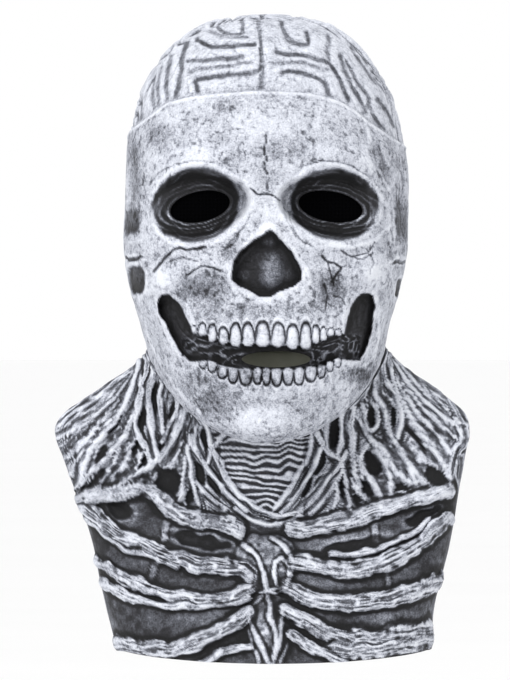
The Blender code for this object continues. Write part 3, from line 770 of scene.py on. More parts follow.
def brain_folds(relief):
    """Grooves between the folds: drawn ones in front, wandering ones round the back."""
    across, down = relief.bent(1.3, 8.0, 73)
    rows = [(FOLD_RADIUS, share, points) for share, points in FOLDS]
    reach, _, _, number = nearest_line(across, down, rows, 1.0)
    share = np.array([row[1] for row in rows])[number]
    uneven = 0.85 + 0.35 * lattice_noise(relief.base, 9.0, 6)
    drawn_core = share * uneven * (1.0 - ease(reach, 0.10, 0.50))
    drawn_flank = share * (1.0 - ease(reach, 0.2, 1.0))
    spread = relief.base.copy()
    for axis in range(3):
        spread[..., axis] += 9.0 * lattice_noise(relief.base, 26.0, 3 + axis)

    def wander(points):
        return 2.3 * lattice_noise(points, 44.0, 11) + 0.7 * lattice_noise(points, 21.0, 12)

    value = wander(spread)
    tiny = 0.5
    slope = np.zeros(value.shape)
    for axis in range(3):
        moved = spread.copy()
        moved[..., axis] += tiny
        slope += ((wander(moved) - value) / tiny) ** 2
    value, slope = value * FOLD_CROWDING, slope * FOLD_CROWDING ** 2
    fold = np.abs(value - np.round(value)) / (np.sqrt(slope) + 0.02)
    middle = np.abs(relief.x + 2.6)
    fold = np.minimum(fold, middle)
    seen = relief.front * ease(relief.down, 13.0, 20.0) * ease(-relief.y, 30.0, 44.0)
    core = drawn_core * seen + (1.0 - ease(fold, 0.5, 2.0)) * (1.0 - seen)
    flank = drawn_flank * seen + (1.0 - ease(fold, 0.8, 4.2)) * (1.0 - seen)
    inside = ease(relief.edge - relief.down, 0.5, 5.0) * relief.brain
    grain = lattice_noise(relief.base, 3.0, 7) + 0.6 * lattice_noise(relief.base, 6.0, 8)
    relief.height -= inside * FOLD_DEPTH * (0.55 * core + 0.45 * flank)
    relief.height += relief.brain * 0.16 * grain
    wrinkle = 1.0 - np.clip(np.abs(lattice_noise(spread, 6.5, 14)) * 6.0, 0.0, 1.0)
    relief.height -= relief.brain * 0.25 * wrinkle
    paint = 0.72 + 0.04 * grain - inside * (0.20 * core + 0.09 * flank) - 0.10 * wrinkle
    relief.brush += relief.brain * paint


def skull_details(relief):
    """Rim lip, ridges, cracks, wrinkles and the painted patches of the skull, painted shade and
    highlights among them.
    """
    across, down, base = relief.across, relief.down, relief.base
    bone = relief.is_head * (1.0 - relief.brain)
    bent_across, bent_down = relief.bent(2.2, 9.0, 79)
    lip = np.exp(-((down - relief.edge - 1.4) / 1.4) ** 2) * (1.0 - relief.brain)
    relief.height += 0.8 * lip
    ridges = relief.lines(SKULL_RIDGES)
    relief.height += relief.skull * ridges
    crack = relief.lines(CRACKS, lambda d: 1.0 - ease(d, 0.0, 1.0))
    relief.height -= relief.skull * crack
    coarse = lattice_noise(base, 11.0, 23) + 0.7 * lattice_noise(base, 5.0, 24)
    pits = lattice_noise(base, 2.6, 21) + 0.7 * lattice_noise(base, 1.7, 22)
    close = ease(60.0 - relief.y, 0.0, 60.0)
    pits = ease(pits, 0.30, 0.95) * (0.15 + 0.85 * close)
    worm = 1.0 - np.clip(np.abs(lattice_noise(base + 3.0 * coarse[..., None], 5.5, 26)) * 7.0,
                         0.0, 1.0)
    worm *= ease(lattice_noise(base, 21.0, 27), -0.35, 0.35) * close
    relief.height += bone * (0.22 * coarse - 0.30 * pits - 0.45 * worm)
    brush = 0.70 + 0.07 * coarse + 0.06 * lattice_noise(base, 24.0, 25)
    brush += 0.13 * lip + 0.07 * ridges - 0.38 * crack - 0.18 * pits - 0.13 * worm
    # Dark paint with painted shade, patch by patch
    for row in DARK_PAINT_AND_SHADE:
        shade = row[5] * ease(1.3 - oval(across, down, row), 0.0, 0.9)
        brush = brush - shade * relief.skull
    # Pale paint with painted highlights, patch by patch
    for row in PALE_PAINT_AND_HIGHLIGHTS:
        brush = brush + relief.skull * row[5] * mound(oval(across, down, row))
    for row in TEMPLES:
        turn = math.radians(row[4])
        u = (bent_across - row[0]) * math.cos(turn) + (bent_down - row[1]) * math.sin(turn)
        v = (bent_down - row[1]) * math.cos(turn) - (bent_across - row[0]) * math.sin(turn)
        boxed = ((np.abs(u) / row[2]) ** 2.6 + (np.abs(v) / row[3]) ** 2.6) ** (1.0 / 2.6)
        forward = ease(-relief.y - 0.5 * coarse, -12.0, 26.0)
        sunk = ease(1.0 + row[7] / 2.0 - boxed, 0.0, row[7]) * relief.is_head * forward
        relief.height -= row[5] * sunk
        brush = brush - row[6] * sunk * (0.75 + 0.25 * np.clip(v / row[3], -1.0, 1.0))
        edge = np.exp(-((boxed - 1.0 - row[7]) / 0.10) ** 2)
        brush = brush + 0.12 * edge * relief.is_head * forward
    # Painted shade: the sides of the head, which turn away from the light, are painted darker
    side = ease(np.abs(relief.x + 0.4), 74.0, 95.0)
    brush = brush - 0.05 * side
    relief.brush += bone * brush


def tooth_row(relief, teeth, hang):
    """Teeth with narrow gum ends, their dark outlines, gum scallops and roots."""
    across, down = relief.bent(0.6, 3.5, 75)
    rise = np.zeros(relief.x.shape)
    crown = np.zeros(relief.x.shape)
    outline = np.zeros(relief.x.shape)
    gum = np.zeros(relief.x.shape)
    roots = np.zeros(relief.x.shape)
    for middle, width, top, bottom in teeth:
        tall = (bottom - top) / 2.0
        u = np.abs(across - middle) / (width / 2.0)
        v = (down - top - tall) / tall * hang
        taper = 0.88 + 0.19 * np.clip(v, -1.0, 1.0)
        share = ((u / taper) ** 2.6 + np.abs(v) ** 2.8) ** (1.0 / 2.7)
        rise = np.maximum(rise, 1.0 - ease(share, 0.45, 1.0))
        crown = np.maximum(crown, 1.0 - ease(share, 0.92, 1.12))
        dark = np.exp(-((share - 1.09) / 0.15) ** 2) * (1.0 - 0.75 * ease(v, 0.45, 0.95))
        outline = np.maximum(outline, dark)
        is_gum = ease(-v, 0.5, 1.0)
        gum = np.maximum(gum, np.exp(-((share - 1.42) / 0.13) ** 2) * is_gum)
        fading = np.clip(1.0 - (-v - 1.0) * tall / 15.0, 0.0, 1.0) * (v < -1.0)
        roots = np.maximum(roots, np.exp(-(u / 0.55) ** 2) * fading)
    relief.teeth = np.maximum(relief.teeth, crown)
    between_teeth = outline * (1.0 - rise)
    stain = lattice_noise(relief.base, 2.2, 28)
    relief.height += relief.skull * (TOOTH_RISE * rise - 1.3 * between_teeth)
    relief.height += relief.skull * (0.6 * gum + 0.9 * roots * (1.0 - rise))
    tone = 0.02 if hang > 0.0 else -0.08
    paint = (tone + 0.16 * stain) * rise - 0.44 * between_teeth + 0.14 * gum * (1.0 - rise)
    relief.brush += relief.skull * (paint + 0.06 * roots * (1.0 - rise))


def face_hollows(relief):
    """Nose, cheek hollows, the gap between the teeth and the eye sockets."""
    across, down, base = relief.across, relief.down, relief.base
    skull = relief.skull
    bent_across, bent_down = relief.bent(1.2, 6.0, 77)
    nose = between(bent_across, bent_down, NOSE, HOLLOW_SOFT)
    cheeks = np.maximum(between(bent_across, bent_down, LEFT_CHEEK, HOLLOW_SOFT),
                        between(bent_across, bent_down, RIGHT_CHEEK, HOLLOW_SOFT))
    mouth = between(down, across, MOUTH, MOUTH_SOFT) * (1.0 - relief.teeth)
    septum = mound(oval(across, down, SEPTUM))
    lobes = 0.7 * mound(oval(across, down, NOSE_LOBES[0]))
    lobes += 0.7 * mound(oval(across, down, NOSE_LOBES[1]))
    crease = np.exp(-((across - 268.0) / 1.2) ** 2) * ease(262.0 - down, -4.0, 10.0)
    streak = lattice_noise(base * np.array([1.0, 1.0, 0.22]), 2.6, 41)
    relief.height -= skull * nose * (NOSE_DEPTH - 3.4 * septum - 1.0 * lobes + 0.6 * crease)
    relief.height -= skull * (CHEEK_DEPTH + 0.6 * streak) * cheeks * (1.0 - mouth)
    relief.height -= skull * MOUTH_DEPTH * mouth
    wavy = base + 2.0 * lattice_noise(base, 9.0, 45)[..., None]
    wrinkle = 1.0 - np.abs(lattice_noise(wavy * np.array([0.25, 1.0, 1.0]), 2.6, 42)) * 3.0
    wrinkle = np.clip(wrinkle, 0.0, 1.0) * ease(np.abs(across - 275.0), 18.0, 40.0)
    relief.height += skull * 0.9 * wrinkle * mouth
    hollow = np.maximum(nose, np.maximum(cheeks, mouth))
    mottle = lattice_noise(base, 4.0, 46)
    ridge = mound(oval(across, down, NOSE_RIDGE))
    paint = 0.12 + nose ** 2 * (0.16 * ridge + 0.07 * septum + 0.03 * lobes + 0.04 * mottle)
    paint = paint + 0.09 * streak * cheeks + 0.34 * wrinkle * mouth - 0.04 * cheeks
    edge = ease(hollow, 0.10, 0.65) * skull
    rim = np.exp(-((hollow - 0.16) / 0.14) ** 2) * (hollow > 0.01)
    relief.brush += skull * 0.04 * rim
    relief.brush = relief.brush * (1.0 - edge) + paint * edge
    for row in SOCKETS:
        rim_share = oval(bent_across, bent_down, row)
        outward = np.abs(relief.x) - abs(row[0] - CENTRE) * PLAN
        floor = row[5] - row[6] * outward
        weight = skull * ease(1.0 - rim_share, 0.0, row[7])
        relief.height += weight * np.minimum(floor + relief.y - relief.height, 0.0)
        swirl = 0.45 * lattice_noise(base, 13.0, 43) + 0.15 * lattice_noise(base, 5.0, 47)
        lines = ease(np.sin(math.tau * (rim_share * 6.4 + swirl)), 0.35, 1.0)
        lines *= 0.5 + 0.9 * lattice_noise(base, 11.0, 48)
        depth = skull * ease(1.02 - rim_share, 0.0, 0.13)
        relief.height += depth * 0.6 * lines
        # Painted highlight: the ridge lines on the lower wall of each socket, which faces the light from
        # above, are painted lighter
        lower_wall_highlight = ease(down - row[1], -10.0, 26.0)
        paint = 0.03 + np.clip(lines, 0.0, 1.0) * (0.17 + 0.16 * lower_wall_highlight)
        # Lighter patches on the socket walls, brighter along the ridge lines
        for lid in LIDS:
            light_patch = mound(oval(bent_across, bent_down, lid)) * (0.5 + 0.8 * lines)
            paint = paint + lid[5] * light_patch
        relief.brush = relief.brush * (1.0 - depth) + paint * depth
    for row in EYE_HOLES:
        wide = row[2] + EYE_LAND[0] + EYE_LAND_FADE
        tall = row[3] + EYE_LAND[1] + EYE_LAND_FADE
        grown = (row[0], row[1], wide, tall, row[4])
        weight = skull * ease(1.0 - oval(across, down, grown), 0.0, EYE_LAND_FADE / tall)
        relief.height += weight * (EYE_FLOOR + relief.y - relief.height)
        lid = oval(bent_across, bent_down, row)
        patchy = 0.75 + 0.6 * lattice_noise(base, 12.0, 44)
        fold = np.exp(-((lid - 1.09) / 0.045) ** 2) + 0.8 * np.exp(-((lid - 1.36) / 0.05) ** 2)
        fold += 0.6 * np.exp(-((lid - 1.60) / 0.04) ** 2)
        fold *= patchy
        relief.height += skull * 1.0 * fold
        # The lid folds take pale paint, and a painted highlight along the lower lid, where the light
        # from above falls
        relief.brush += skull * fold * (0.10 + 0.30 * ease(down - row[1], -4.0, 10.0))


def neck_and_bib(relief):
    """Windpipe rings, sinews, collarbones, ribs and breastbone."""
    across, down, lower, base = relief.across, relief.down, relief.lower, relief.base
    bent_across, bent_down = relief.bent(1.9, 9.0, 81)
    bent_across += 0.25 * lattice_noise(base, 4.4, 83)
    bent_down += 0.25 * lattice_noise(base, 4.4, 84)
    grain = lattice_noise(base, 2.4, 54) + 0.6 * lattice_noise(base, 4.6, 55)

    reach, along, side, number = nearest_line(bent_across, bent_down, BONES, 2.8)
    reach = reach / (1.08 + 0.30 * lattice_noise(base, 19.0, 88))
    ragged = reach + 0.20 * lattice_noise(base, 8.0, 85) + 0.10 * lattice_noise(base, 3.2, 86)
    strands = strand_noise(along, side, number, 20.0, 3.0, 58)
    thin = strand_noise(along, side, number, 13.0, 2.0, 59)
    inside = ease(1.16 - ragged, 0.0, 0.32)
    rises = np.array([row[1] for row in BONES])[number]
    bone = rises * np.clip(1.0 - np.clip(ragged, 0.0, 1.0) ** 2.6, 0.0, 1.0)
    lips = np.exp(-((ragged - 0.84) / 0.13) ** 2)
    lips *= ease(lattice_noise(base, 12.0, 57), -0.5, 0.4)
    bone_paint = 0.33 + 0.20 * strands + 0.24 * thin + 0.16 * lips
    bone_paint -= 0.12 * ease(ragged, 0.45, 1.1) + 0.20 * ease(grain, 0.0, 0.8)

    turn = np.array(BREASTBONE[:-1], dtype=float)
    middle = turn.mean(axis=0)
    bearing = np.arctan2(turn[:, 1] - middle[1], turn[:, 0] - middle[0])
    order = np.argsort(bearing)
    radii = np.hypot(turn[:, 0] - middle[0], turn[:, 1] - middle[1])[order]
    at = np.arctan2(bent_down - middle[1], bent_across - middle[0])
    limit = np.interp(at, bearing[order], radii, period=math.tau)
    share = np.hypot(bent_across - middle[0], bent_down - middle[1]) / limit
    plate = np.clip(1.0 - share ** 5.0, 0.0, 1.0)
    plate_lip = np.exp(-((share - 0.93) / 0.06) ** 2)
    body = mound(oval(across, down, BREASTBONE_BODY))
    cord_reach, _, _, cord_number = nearest_line(bent_across, bent_down, CORDS, 2.0)
    cord_rises = np.array([row[1] for row in CORDS])[cord_number]
    cord = mound(np.clip(cord_reach, 0.0, 1.0))

    flow_reach, flow, flank, flow_number = nearest_line(bent_across, bent_down, SINEWS, 6.0)
    sinew_rises = np.array([row[1] for row in SINEWS])[flow_number]
    sinew = mound(np.clip(flow_reach, 0.0, 1.0))
    fibre = strand_noise(flow, flank, flow_number, 24.0, 2.8, 60)
    hair = strand_noise(flow, flank, flow_number, 18.0, 2.0, 62)
    collar = np.interp(across, *np.array(COLLAR_LINE, dtype=float).T)
    above = ease(collar - down, -5.0, 5.0)

    ragged_edge = 0.20 * lattice_noise(base, 6.0, 87)
    pits = np.zeros(relief.x.shape)
    for row in PITS:
        torn = oval(bent_across, bent_down, row) + ragged_edge
        pits = np.maximum(pits, row[5] * ease(1.15 - torn, 0.0, 0.6))
    pits *= 1.0 - ease(np.maximum(sinew, bone / 5.0), 0.25, 0.7)

    wave = 3.0 * lattice_noise(base, 17.0, 51) + 2.2 * lattice_noise(base, 7.5, 52)
    rings = np.cos(math.tau * (down + 1.7 * wave + 0.0008 * (across - 264.0) ** 2) / PIPE_RING)
    pipe = between(across, down, WINDPIPE, 5.0)
    ridge = ease(rings + 0.5 * lattice_noise(base, 6.0, 63), -0.65, 0.9)

    raised = np.maximum(bone, np.maximum(3.4 * plate, 2.4 * body))
    clear = 1.0 - ease(raised, 1.0, 4.0)
    relief.height += lower * (raised + clear * above * sinew_rises * sinew)
    relief.height += lower * inside * (0.8 * strands + 0.4 * thin + 0.7 * lips)
    relief.height += lower * cord_rises * cord * ease(plate + body, 0.0, 0.3)
    relief.height -= lower * pits
    ring_clear = 1.0 - ease(sinew, 0.2, 0.8)
    relief.height += lower * pipe * PIPE_RING_RISE * (ridge - 0.5) * ring_clear
    strandy = above * clear * (1.0 - pipe) * (0.9 * fibre + 0.4 * hair)
    relief.height += lower * (strandy * (1.0 - ease(pits, 0.4, 1.6)) + 0.15 * grain)

    strut = relief.lines(STRUTS)
    strut_edge = relief.lines(STRUTS, lambda d: np.exp(-((d - 0.85) / 0.16) ** 2))
    relief.height += lower * (0.3 * strut - 0.4 * strut_edge) * clear
    smear = lattice_noise(base * np.array([0.35, 1.0, 1.3]), 6.0, 65)
    open_side = ease(across, 285.0, 330.0) * ease(430.0 - across, 0.0, 40.0)
    gap = 0.27 + 0.14 * lattice_noise(base, 18.0, 64) + 0.12 * smear
    gap = gap + 0.02 * strut - 0.16 * strut_edge + 0.10 * open_side
    gap = gap + 0.05 * ease(across, 150.0, 190.0) * (1.0 - open_side)
    shoulder = ease(np.abs(across - 262.0), 105.0, 150.0)
    neck = 0.28 + 0.05 * shoulder + 0.24 * fibre + 0.20 * hair + 0.16 * sinew * (0.4 + fibre)
    windpipe = np.maximum(0.33 + 0.34 * ridge * (0.8 + 0.4 * grain), 0.52 * sinew)
    brush = gap * (1.0 - above) + above * neck
    brush = brush * (1.0 - pipe) + windpipe * pipe
    flat = np.clip(plate + body, 0.0, 1.0)
    plate_paint = 0.42 + 0.22 * grain + 0.22 * plate_lip + 0.30 * cord
    plate_paint -= 0.30 * np.exp(-((cord_reach - 1.35) / 0.3) ** 2)
    brush = brush * (1.0 - flat) + plate_paint * flat
    brush = brush * (1.0 - inside) + bone_paint * inside
    # Painted shadow along the gaps beside the bones; the pits are painted darker the deeper they sink
    shadow = np.exp(-((ragged - 1.26) / 0.18) ** 2) * (1.0 - inside)
    brush *= (1.0 - 0.78 * ease(pits, 0.2, 2.4)) * (1.0 - 0.75 * shadow)
    relief.brush = relief.brush * (1.0 - lower) + np.clip(brush, 0.0, 1.0) * lower


def plain_back(relief, place):
    """Paint and slight relief of the neck and back panel behind, which the photo hides."""
    back = (1.0 - relief.front) * ease(place - CHIN_RING, -0.4, 0.8)
    fibre = lattice_noise(relief.base * np.array([1.0, 1.0, 0.20]), 5.0, 61)
    relief.height += back * 0.5 * fibre
    relief.brush += back * (0.40 + 0.12 * fibre)


SKIN = {}


def build_skin():
    """Outer and inner points and paint of the whole skin, worked out once."""
    if SKIN:
        return SKIN
    angle = column_angles()
    grid, rim_row, chin_row = row_grid(angle)
    turn = np.broadcast_to(angle[None, :], grid.shape)
    base = base_surface(grid, turn)
    normal = grid_normals(base)
    facing = -normal[..., 1]
    straight = ease(facing, 0.05, 0.4)[..., None]
    push = normal * (1.0 - straight) + np.array([0.0, -1.0, 0.0]) * straight
    push /= np.linalg.norm(push, axis=-1, keepdims=True)
    relief = Relief(base, facing, grid)
    shape_forms(relief)
    brain_folds(relief)
    skull_details(relief)
    tooth_row(relief, UPPER_TEETH, 1.0)
    tooth_row(relief, LOWER_TEETH, -1.0)
    face_hollows(relief)
    neck_and_bib(relief)
    plain_back(relief, grid)
    outer = base + push * relief.height[..., None]
    lowest = relief.height.copy()
    for _ in range(INNER_REACH):
        for axis in (0, 1):
            lowest = np.minimum(lowest, np.minimum(np.roll(lowest, 1, axis),
                                                   np.roll(lowest, -1, axis)))
    lowest = blur(lowest, 4)
    slant = np.clip(np.sum(normal * push, axis=-1), 0.5, 1.0)
    inner = base + push * (lowest - WALL / slant)[..., None]
    near, far = blur(relief.height, 6), blur(relief.height, 50)
    raised = np.clip((relief.height - near) / 0.35, -1.0, 1.0)
    swell = np.clip((near - far) / 1.6, -1.0, 1.0)
    brush = relief.brush + (0.20 - 0.10 * relief.is_head) * raised + 0.06 * swell
    SKIN.update(outer=outer, inner=inner, brush=np.clip(brush, 0.0, 1.0),
                rim_row=rim_row, chin_row=chin_row, rows=len(grid))
    return SKIN


def to_linear(code):
    """Turn an sRGB hex colour into linear RGBA."""
    parts = [int(code[i:i + 2], 16) / 255.0 for i in (1, 3, 5)]
    lin = [p / 12.92 if p <= 0.04045 else ((p + 0.055) / 1.055) ** 2.4 for p in parts]
    return (*lin, 1.0)


def add_node(tree, kind, settings=None, inputs=None):
    """Add a node, set its properties and link or set its inputs."""
    node = tree.nodes.new(kind)
    for key, value in (settings or {}).items():
        setattr(node, key, value)
    for key, value in (inputs or {}).items():
        if isinstance(value, bpy.types.NodeSocket):
            tree.links.new(value, node.inputs[key])
        else:
            node.inputs[key].default_value = value
    return node


def new_material(name, shader_inputs):
    mat = bpy.data.materials.new(name)
    mat.use_nodes = True
    tree = mat.node_tree
    shader = tree.nodes["Principled BSDF"]
    for key, value in shader_inputs.items():
        shader.inputs[key].default_value = value
    return mat, tree, shader


def set_ramp(node, stops):
    ramp = node.color_ramp
    while len(ramp.elements) > 1:
        ramp.elements.remove(ramp.elements[-1])
    for index, (place, code) in enumerate(stops):
        element = ramp.elements[0] if index == 0 else ramp.elements.new(place)
        element.position = place
        element.color = to_linear(code)


def math_node(tree, operation, *values):
    return add_node(tree, "ShaderNodeMath", {"operation": operation},
                    dict(enumerate(values))).outputs[0]


def colour_and_bump(tree, shader, value, stops, strength, distance, height):
    """Colour a shader through a ramp and give it a fine bump."""
    ramp = add_node(tree, "ShaderNodeValToRGB", None, {"Fac": value})
    set_ramp(ramp, stops)
    tree.links.new(ramp.outputs["Color"], shader.inputs["Base Color"])
    bump = add_node(tree, "ShaderNodeBump", None,
                    {"Strength": strength, "Distance": distance, "Height": height})
    tree.links.new(bump.outputs["Normal"], shader.inputs["Normal"])


def dry_brushed_latex():
    """Slip-cast latex, charcoal all over, then dry-brushed: white catches on what stands up; the brush
    value also holds painted shade and highlights.
    """
    mat, tree, shader = new_material("dry_brushed_latex", {"Roughness": 0.78, "IOR": 1.36})
    place = add_node(tree, "ShaderNodeTexCoord").outputs["Object"]
    brush = add_node(tree, "ShaderNodeAttribute", {"attribute_name": "brush"}).outputs["Fac"]

    def speckle(scale, detail, rough):
        return add_node(tree, "ShaderNodeTexNoise", None,
                        {"Vector": place, "Scale": scale, "Detail": detail,
                         "Roughness": rough}).outputs["Fac"]

    loose = add_node(tree, "ShaderNodeMapRange", None,
                     {"Value": brush, "From Min": 0.08, "From Max": 0.50, "To Min": 0.22,
                      "To Max": 1.0}).outputs["Result"]
    value = brush
    for scale, detail, rough, amount in ((900.0, 3.0, 0.70, 0.95), (340.0, 2.0, 0.6, 0.48),
                                         (70.0, 2.0, 0.5, 0.26)):
        centred = math_node(tree, "SUBTRACT", speckle(scale, detail, rough), 0.5)
        faded = math_node(tree, "MULTIPLY", centred, loose)
        value = math_node(tree, "MULTIPLY_ADD", faded, amount, value)
    stops = ((0.0, "#0C0C0E"), (0.14, "#26262A"), (0.32, "#505259"), (0.50, "#7F828B"),
             (0.66, "#A5A8B1"), (0.80, "#BABDC6"), (1.0, "#CCCFD5"))
    colour_and_bump(tree, shader, value, stops, 0.5, 0.0004, speckle(1100.0, 3.0, 0.7))
    return mat


def latex_inside_painted_shade():
    """Unpainted inside of the casting: pale latex painted down to a dark grey-green for the shade inside
    the mask, with a soft, uneven tone.
    """
    mat, tree, shader = new_material("latex_inside_painted_shade", {"Roughness": 0.55, "IOR": 1.5})
    place = add_node(tree, "ShaderNodeTexCoord").outputs["Object"]
    cloud = add_node(tree, "ShaderNodeTexNoise", None,
                     {"Vector": place, "Scale": 60.0, "Detail": 3.0}).outputs["Fac"]
    stops = ((0.3, "#6F7064"), (0.7, "#85867A"))
    colour_and_bump(tree, shader, cloud, stops, 0.3, 0.0005, cloud)
    return mat


def black_gauze():
    """Woven black gauze: threads 0.9 mm apart that swallow the light."""
    mat, tree, shader = new_material("black_gauze", {"Roughness": 1.0, "Specular IOR Level": 0.0})
    place = add_node(tree, "ShaderNodeTexCoord").outputs["Object"]
    parts = add_node(tree, "ShaderNodeSeparateXYZ", None, {"Vector": place}).outputs
    thread = math.tau / THREAD_SPACING
    warp = math_node(tree, "SINE", math_node(tree, "MULTIPLY", parts["X"], thread), 0.0)
    weft = math_node(tree, "SINE", math_node(tree, "MULTIPLY", parts["Z"], thread), 0.0)
    weave = math_node(tree, "MAXIMUM", warp, weft)
    stops = ((0.0, "#000000"), (1.0, "#08080A"))
    colour_and_bump(tree, shader, weave, stops, 0.6, 0.0002, weave)
    return mat


MATERIALS = {}


def material(name):
    makers = {"outside": dry_brushed_latex, "inside": latex_inside_painted_shade, "gauze": black_gauze}
    if name not in MATERIALS:
        MATERIALS[name] = makers[name]()
    return MATERIALS[name]


def deselect():
    if bpy.context.object and bpy.context.object.mode != "OBJECT":
        bpy.ops.object.mode_set(mode="OBJECT")
    bpy.ops.object.select_all(action="DESELECT")


def shaped_sheet(points, brush, inside):
    """A grid primitive whose corners are moved onto rows of points and closed round."""
    rows, columns = points.shape[:2]
    deselect()
    bpy.ops.mesh.primitive_grid_add(x_subdivisions=columns, y_subdivisions=rows - 1, size=2.0)
    sheet = bpy.context.object
    mesh = sheet.data
    flat = np.empty(len(mesh.vertices) * 3)
    mesh.vertices.foreach_get("co", flat)
    flat = flat.reshape(-1, 3)
    column = np.rint((flat[:, 0] + 1.0) / 2.0 * columns).astype(int) % columns
    row = np.rint((1.0 - flat[:, 1]) / 2.0 * (rows - 1)).astype(int)
    mesh.vertices.foreach_set("co", (points[row, column] * MM).ravel())
    paint = mesh.attributes.new("brush", "FLOAT", "POINT")
    paint.data.foreach_set("value", brush[row, column])
    level = mesh.attributes.new("level", "INT", "POINT")
    level.data.foreach_set("value", np.where(row == 0, 1, np.where(row == rows - 1, 2, 0)))
    mesh.materials.append(material("outside"))
    mesh.materials.append(material("inside"))
    if inside:
        mesh.polygons.foreach_set("material_index", np.ones(len(mesh.polygons), dtype=int))
    bpy.ops.object.mode_set(mode="EDIT")
    bpy.ops.mesh.select_all(action="SELECT")
    bpy.ops.mesh.remove_doubles(threshold=0.000001)
    bpy.ops.mesh.normals_make_consistent(inside=inside)
    bpy.ops.object.mode_set(mode="OBJECT")
    return sheet


def bridge_level(obj, level):
    """Join the outer and inner borders at one end of the skin."""
    bpy.ops.object.mode_set(mode="EDIT")
    bpy.ops.mesh.select_mode(type="EDGE")
    bpy.ops.mesh.select_all(action="DESELECT")
    bpy.ops.object.mode_set(mode="OBJECT")
    mesh = obj.data
    marks = np.empty(len(mesh.vertices), dtype=int)
    mesh.attributes["level"].data.foreach_get("value", marks)
    ends = np.empty(len(mesh.edges) * 2, dtype=int)
    mesh.edges.foreach_get("vertices", ends)
    ends = ends.reshape(-1, 2)
    chosen = (marks[ends[:, 0]] == level) & (marks[ends[:, 1]] == level)
    mesh.edges.foreach_set("select", chosen)
    bpy.ops.object.mode_set(mode="EDIT")
    bpy.ops.mesh.bridge_edge_loops()
    bpy.ops.object.mode_set(mode="OBJECT")


def face_outwards():
    """Wind every face of the active closed shell outwards, borders included."""
    bpy.ops.object.mode_set(mode="EDIT")
    bpy.ops.mesh.select_all(action="SELECT")
    bpy.ops.mesh.normals_make_consistent(inside=False)
    bpy.ops.object.mode_set(mode="OBJECT")


def skin_piece(name, first, last):
    """One closed stretch of the skin between two rows."""
    skin = build_skin()
    outer = skin["outer"][first:last + 1]
    brush = skin["brush"][first:last + 1]
    inner_rows = sorted(set(range(0, last - first, INNER_STEP)) | {last - first})
    inner = skin["inner"][first:last + 1][inner_rows][:, ::INNER_STEP]
    inner_brush = brush[inner_rows][:, ::INNER_STEP]
    has_pole = first == 0
    if has_pole:
        top = outer[0].mean(axis=0)
        top[2] = outer[0][:, 2].max() + 0.2
        outer = np.concatenate([np.broadcast_to(top, outer[:1].shape), outer])
        brush = np.concatenate([brush[:1], brush])
        under = top - np.array([0.0, 0.0, WALL])
        inner = np.concatenate([np.broadcast_to(under, inner[:1].shape), inner])
        inner_brush = np.concatenate([inner_brush[:1], inner_brush])
    shell = shaped_sheet(outer, brush, False)
    lining = shaped_sheet(inner, inner_brush, True)
    deselect()
    lining.select_set(True)
    shell.select_set(True)
    bpy.context.view_layer.objects.active = shell
    bpy.ops.object.join()
    if not has_pole:
        bridge_level(shell, 1)
    bridge_level(shell, 2)
    face_outwards()
    shell.name = name
    shell.data.name = name
    shell.data.attributes.remove(shell.data.attributes["level"])
    return shell


def cut_away(piece, cutter):
    """Cut a shape out of a piece and put the shape away."""
    deselect()
    piece.select_set(True)
    bpy.context.view_layer.objects.active = piece
    modifier = piece.modifiers.new("cut", "BOOLEAN")
    modifier.operation = "DIFFERENCE"
    modifier.solver = "EXACT"
    modifier.object = cutter
    bpy.ops.object.modifier_apply(modifier=modifier.name)
    bpy.data.objects.remove(cutter, do_unlink=True)


def oval_block(row, margin, near, far, corners):
    """An oval block across the skin, in metres, from near to far."""
    across, down, half_across, half_down, tilt = row
    centre = ((across - CENTRE) * PLAN * MM, (near + far) / 2.0 * MM,
              (WALL - (down - CROWN) * PLAN) * MM)
    deselect()
    bpy.ops.mesh.primitive_cylinder_add(
        vertices=corners, radius=1.0, depth=(far - near) * MM, location=centre,
        rotation=(math.pi / 2.0, 0.0, 0.0))
    block = bpy.context.object
    block.scale = ((half_across * PLAN + margin) * MM, (half_down * PLAN + margin) * MM, 1.0)
    bpy.ops.object.transform_apply(location=False, rotation=True, scale=True)
    block.rotation_euler = (0.0, math.radians(tilt), 0.0)
    bpy.ops.object.transform_apply(location=True, rotation=True, scale=True)
    return block


def slit_block():
    """A round-topped block that runs across both sides of the bib."""
    middle = (SLIT_FRONT + SLIT_BACK) / 2.0
    radius = (SLIT_BACK - SLIT_FRONT) / 2.0
    top = WALL - (SLIT_TOP - CROWN) * PLAN - radius
    deselect()
    bpy.ops.mesh.primitive_cylinder_add(
        vertices=96, radius=radius * MM, depth=0.4, location=(0.0, middle * MM, top * MM),
        rotation=(0.0, math.pi / 2.0, 0.0))
    block = bpy.context.object
    bpy.ops.object.transform_apply(location=True, rotation=True, scale=True)
    for vertex in block.data.vertices:
        if vertex.co.z < top * MM - 0.0001:
            vertex.co.y = (middle + math.copysign(radius, vertex.co.y * 1000.0 - middle)) * MM
            vertex.co.z = top * MM - 0.3
    bpy.ops.object.mode_set(mode="EDIT")
    bpy.ops.mesh.select_all(action="SELECT")
    bpy.ops.mesh.remove_doubles(threshold=0.0001)
    bpy.ops.mesh.normals_make_consistent(inside=False)
    bpy.ops.object.mode_set(mode="OBJECT")
    return block


def finish_piece(piece, slot, *nodes, angle=80.0):
    deselect()
    piece.select_set(True)
    bpy.context.view_layer.objects.active = piece
    bpy.ops.object.shade_smooth_by_angle(angle=math.radians(angle))
    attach(piece, "root")
    if nodes:
        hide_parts(*nodes)


